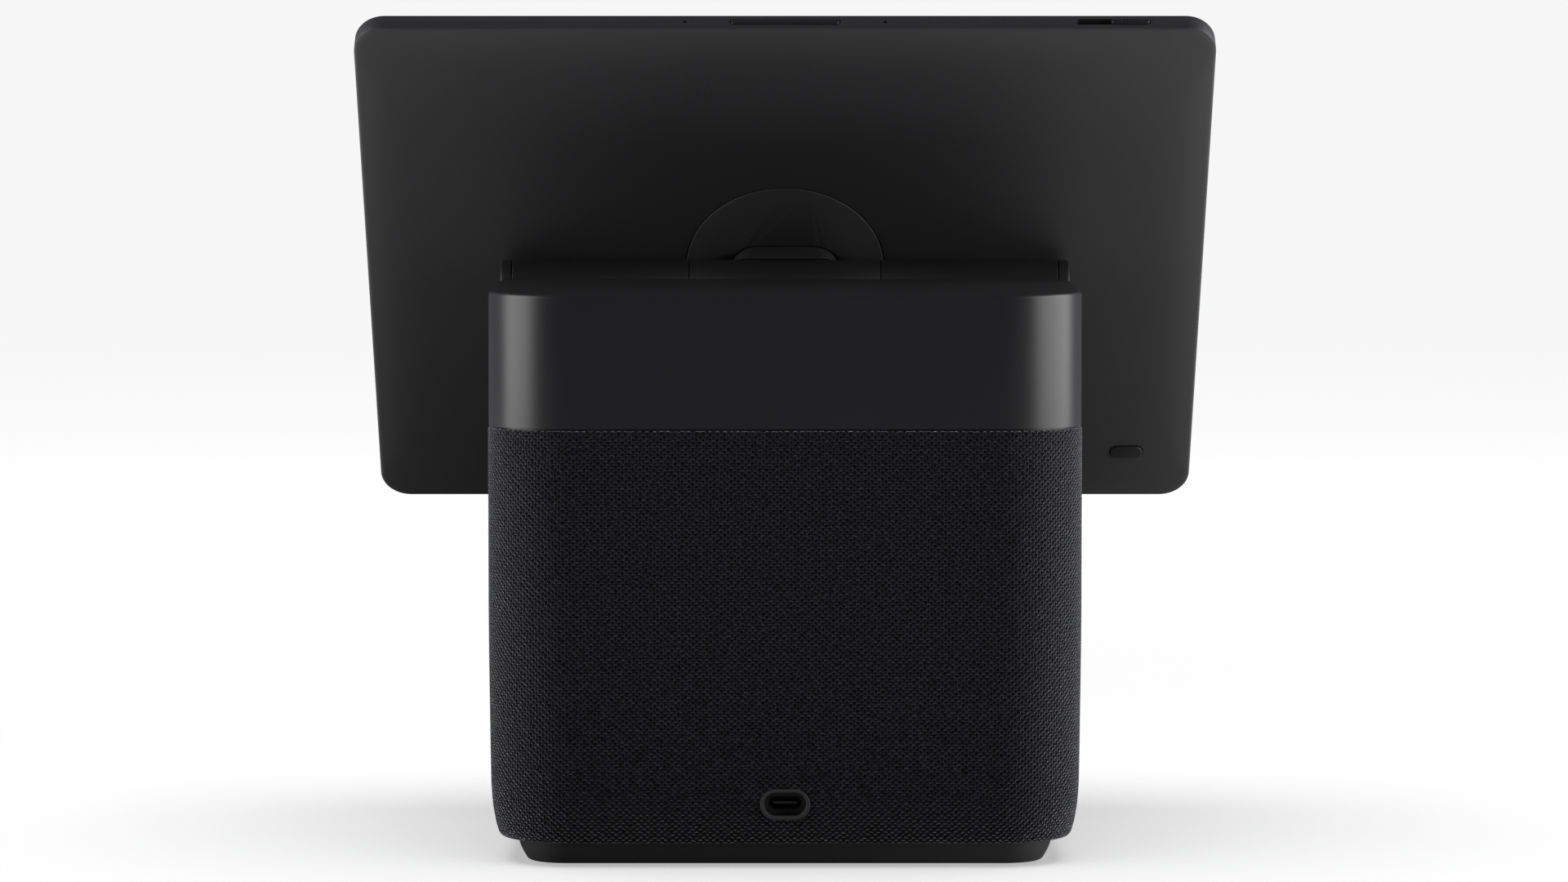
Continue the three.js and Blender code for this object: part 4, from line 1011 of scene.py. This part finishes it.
def make_glass():
    inset = GLASS_INSET
    levels = [(inset + 0.15, GLASS_BACK), (inset, GLASS_BACK + 0.15), (inset, GLASS_FRONT - 0.3)]
    levels += [(inset + 0.09, GLASS_FRONT - 0.09), (inset + 0.3, GLASS_FRONT)]
    glass = loft("glass", [plan_ring(PANEL, inset, d) for inset, d in levels], SLAB)
    place = SLAB @ moved(CAMERA_X, CAMERA_Z)
    combine(glass, [rod(WINDOW_RADIUS, GLASS_BACK - 1, GLASS_FRONT + 1, place, SMALL_STEPS)])
    install(glass, "front_glass", "screen", ["front_glass"])
    near, far, radius = GLASS_BACK + 0.15, GLASS_FRONT - 0.05, WINDOW_RADIUS - 0.02
    disc = lathe("camera_window", [(0, near), (radius, near), (radius, far), (0, far)], place, SMALL_STEPS)
    install(disc, clear_glass(), "screen")


def make_volume_key():
    place = DISPLAY @ moved(0, -SIDE_MIDDLE)
    levels = [(0, KEY_FOOT), *fillet(0, PANEL_TOP + KEY_PROUD, KEY_EDGE, 1, 1)]
    key = loft("volume_key", obround_rings(KEY_LENGTH, KEY_WIDTH, levels), place)
    flange = block("tool", KEY_LENGTH + 2, 2, 0.6, (0, 0, KEY_FLANGE), place)
    install(combine(key, [flange], "UNION"), "satin_plastic", "volume", ["volume_rocker"])


def make_shutter_knob():
    place = DISPLAY @ moved(SHUTTER_OUTER + SHUTTER_KNOB / 2, -SIDE_MIDDLE)
    levels = [(0, KEY_FLANGE), *fillet(0, PANEL_TOP + SHUTTER_PROUD, KEY_EDGE, 1, 1)]
    knob = loft("shutter_slider", obround_rings(SHUTTER_KNOB, KEY_WIDTH - 0.2, levels), place)
    carrier = block("tool", SHUTTER_KNOB - 1, 2.8, 0.8, (0, -0.6, KEY_FOOT), place)
    combine(knob, [carrier], "UNION")
    across = Matrix.Rotation(math.pi / 2, 4, "X")
    grips = [place @ moved(i * GRIP_STEP, 0, PANEL_TOP + GRIP_LEVEL) @ across for i in range(-2, 3)]
    combine(knob, [rod(GRIP_RADIUS, -0.8, 0.8, grip, 16) for grip in grips])
    install(knob, "satin_plastic", "shutter", ["shutter_knob"])


def make_mute_key():
    """Its flange stops just clear of the switch at the end of its travel."""
    place = SLAB @ moved(MUTE_X, MUTE_Z)
    face = BACK_APEX - MUTE_PROUD
    edge = [(inset, 2 * face - d) for inset, d in fillet(0, face, MUTE_EDGE, 1, 1)]
    head = loft("mute_key", obround_rings(MUTE_LENGTH, MUTE_HEIGHT, [(0, 12.6), *edge]), place)
    middle = MUTE_FLANGE_FACE + MUTE_FLANGE / 2
    flange = block("tool", MUTE_LENGTH + 2, MUTE_HEIGHT + 0.6, MUTE_FLANGE, (0, 0, middle), place)
    install(combine(head, [flange], "UNION"), "satin_plastic", "mute", ["mute_button"])


# ---------------------------------------------------------------- pieces that keep their CAD shape

CAD_FINISHES = {
    "inner_plastic": [
        "cabinet", "acoustic_lid", "tweeter_left", "tweeter_right", "mid_frame", "camera_module",
        "mute_switch",
    ],
    "rubber": ["lid_gasket", "woofer_surround", "radiator_surround_left", "radiator_surround_right"],
    "steel": [
        "hinge_bracket", "woofer_basket", "hinge_shaft_left", "hinge_shaft_right", "shield_plate",
        *[f"neck_screw_{number}" for number in range(1, 5)],
        "torque_sleeve_left", "torque_sleeve_right", "microphone_left", "microphone_right",
    ],
    "cast_alloy": ["heat_sink", "radiator_plate_left", "radiator_plate_right"],
    "magnet": ["woofer_magnet"],
    "cone": ["woofer_cone", "tweeter_dome_left", "tweeter_dome_right"],
    "circuit_board": ["amplifier_board", "main_board", "volume_switch_board"],
    "matte_plastic": ["port_tongue", "shutter_blade"],
    "screen_cell": ["display_panel"],
    "lens_glass": ["camera_lens"],
    "cable": ["display_cable"],
}


def finish_cad_nodes():
    for slot, nodes in CAD_FINISHES.items():
        for node in nodes:
            obj = frame["nodes"][node]
            obj.data.materials.clear()
            obj.data.materials.append(MATERIALS[slot])


# ---------------------------------------------------------------- the scene

add_camera()
add_world(WORLD_SEEN, WORLD_BEHIND, WORLD_BEFORE)
floor = add_floor("floor", floor_material(), FLOOR_CORNERS, 0.0)
floor.visible_diffuse = False
floor.visible_glossy = False
reflector = add_floor("reflector", reflector_material(), REFLECTOR_CORNERS, REFLECTOR_LEVEL)
reflector.visible_camera = False
softboxes = {name: add_softbox(name, *values) for name, values in SOFTBOXES.items()}
share_light(softboxes["left_softbox"], [floor, reflector], "EXCLUDE")
share_light(softboxes["right_softbox"], [floor, reflector], "EXCLUDE")
share_light(softboxes["floor_softbox"], [floor], "INCLUDE")

make_foot()
make_plinth()
make_base_screws()
make_sleeve()
make_collar()
make_cheeks()
make_port()
make_barrel()
make_neck()
make_hub()
make_cover()
make_glass()
make_volume_key()
make_shutter_knob()
make_mute_key()
finish_cad_nodes()
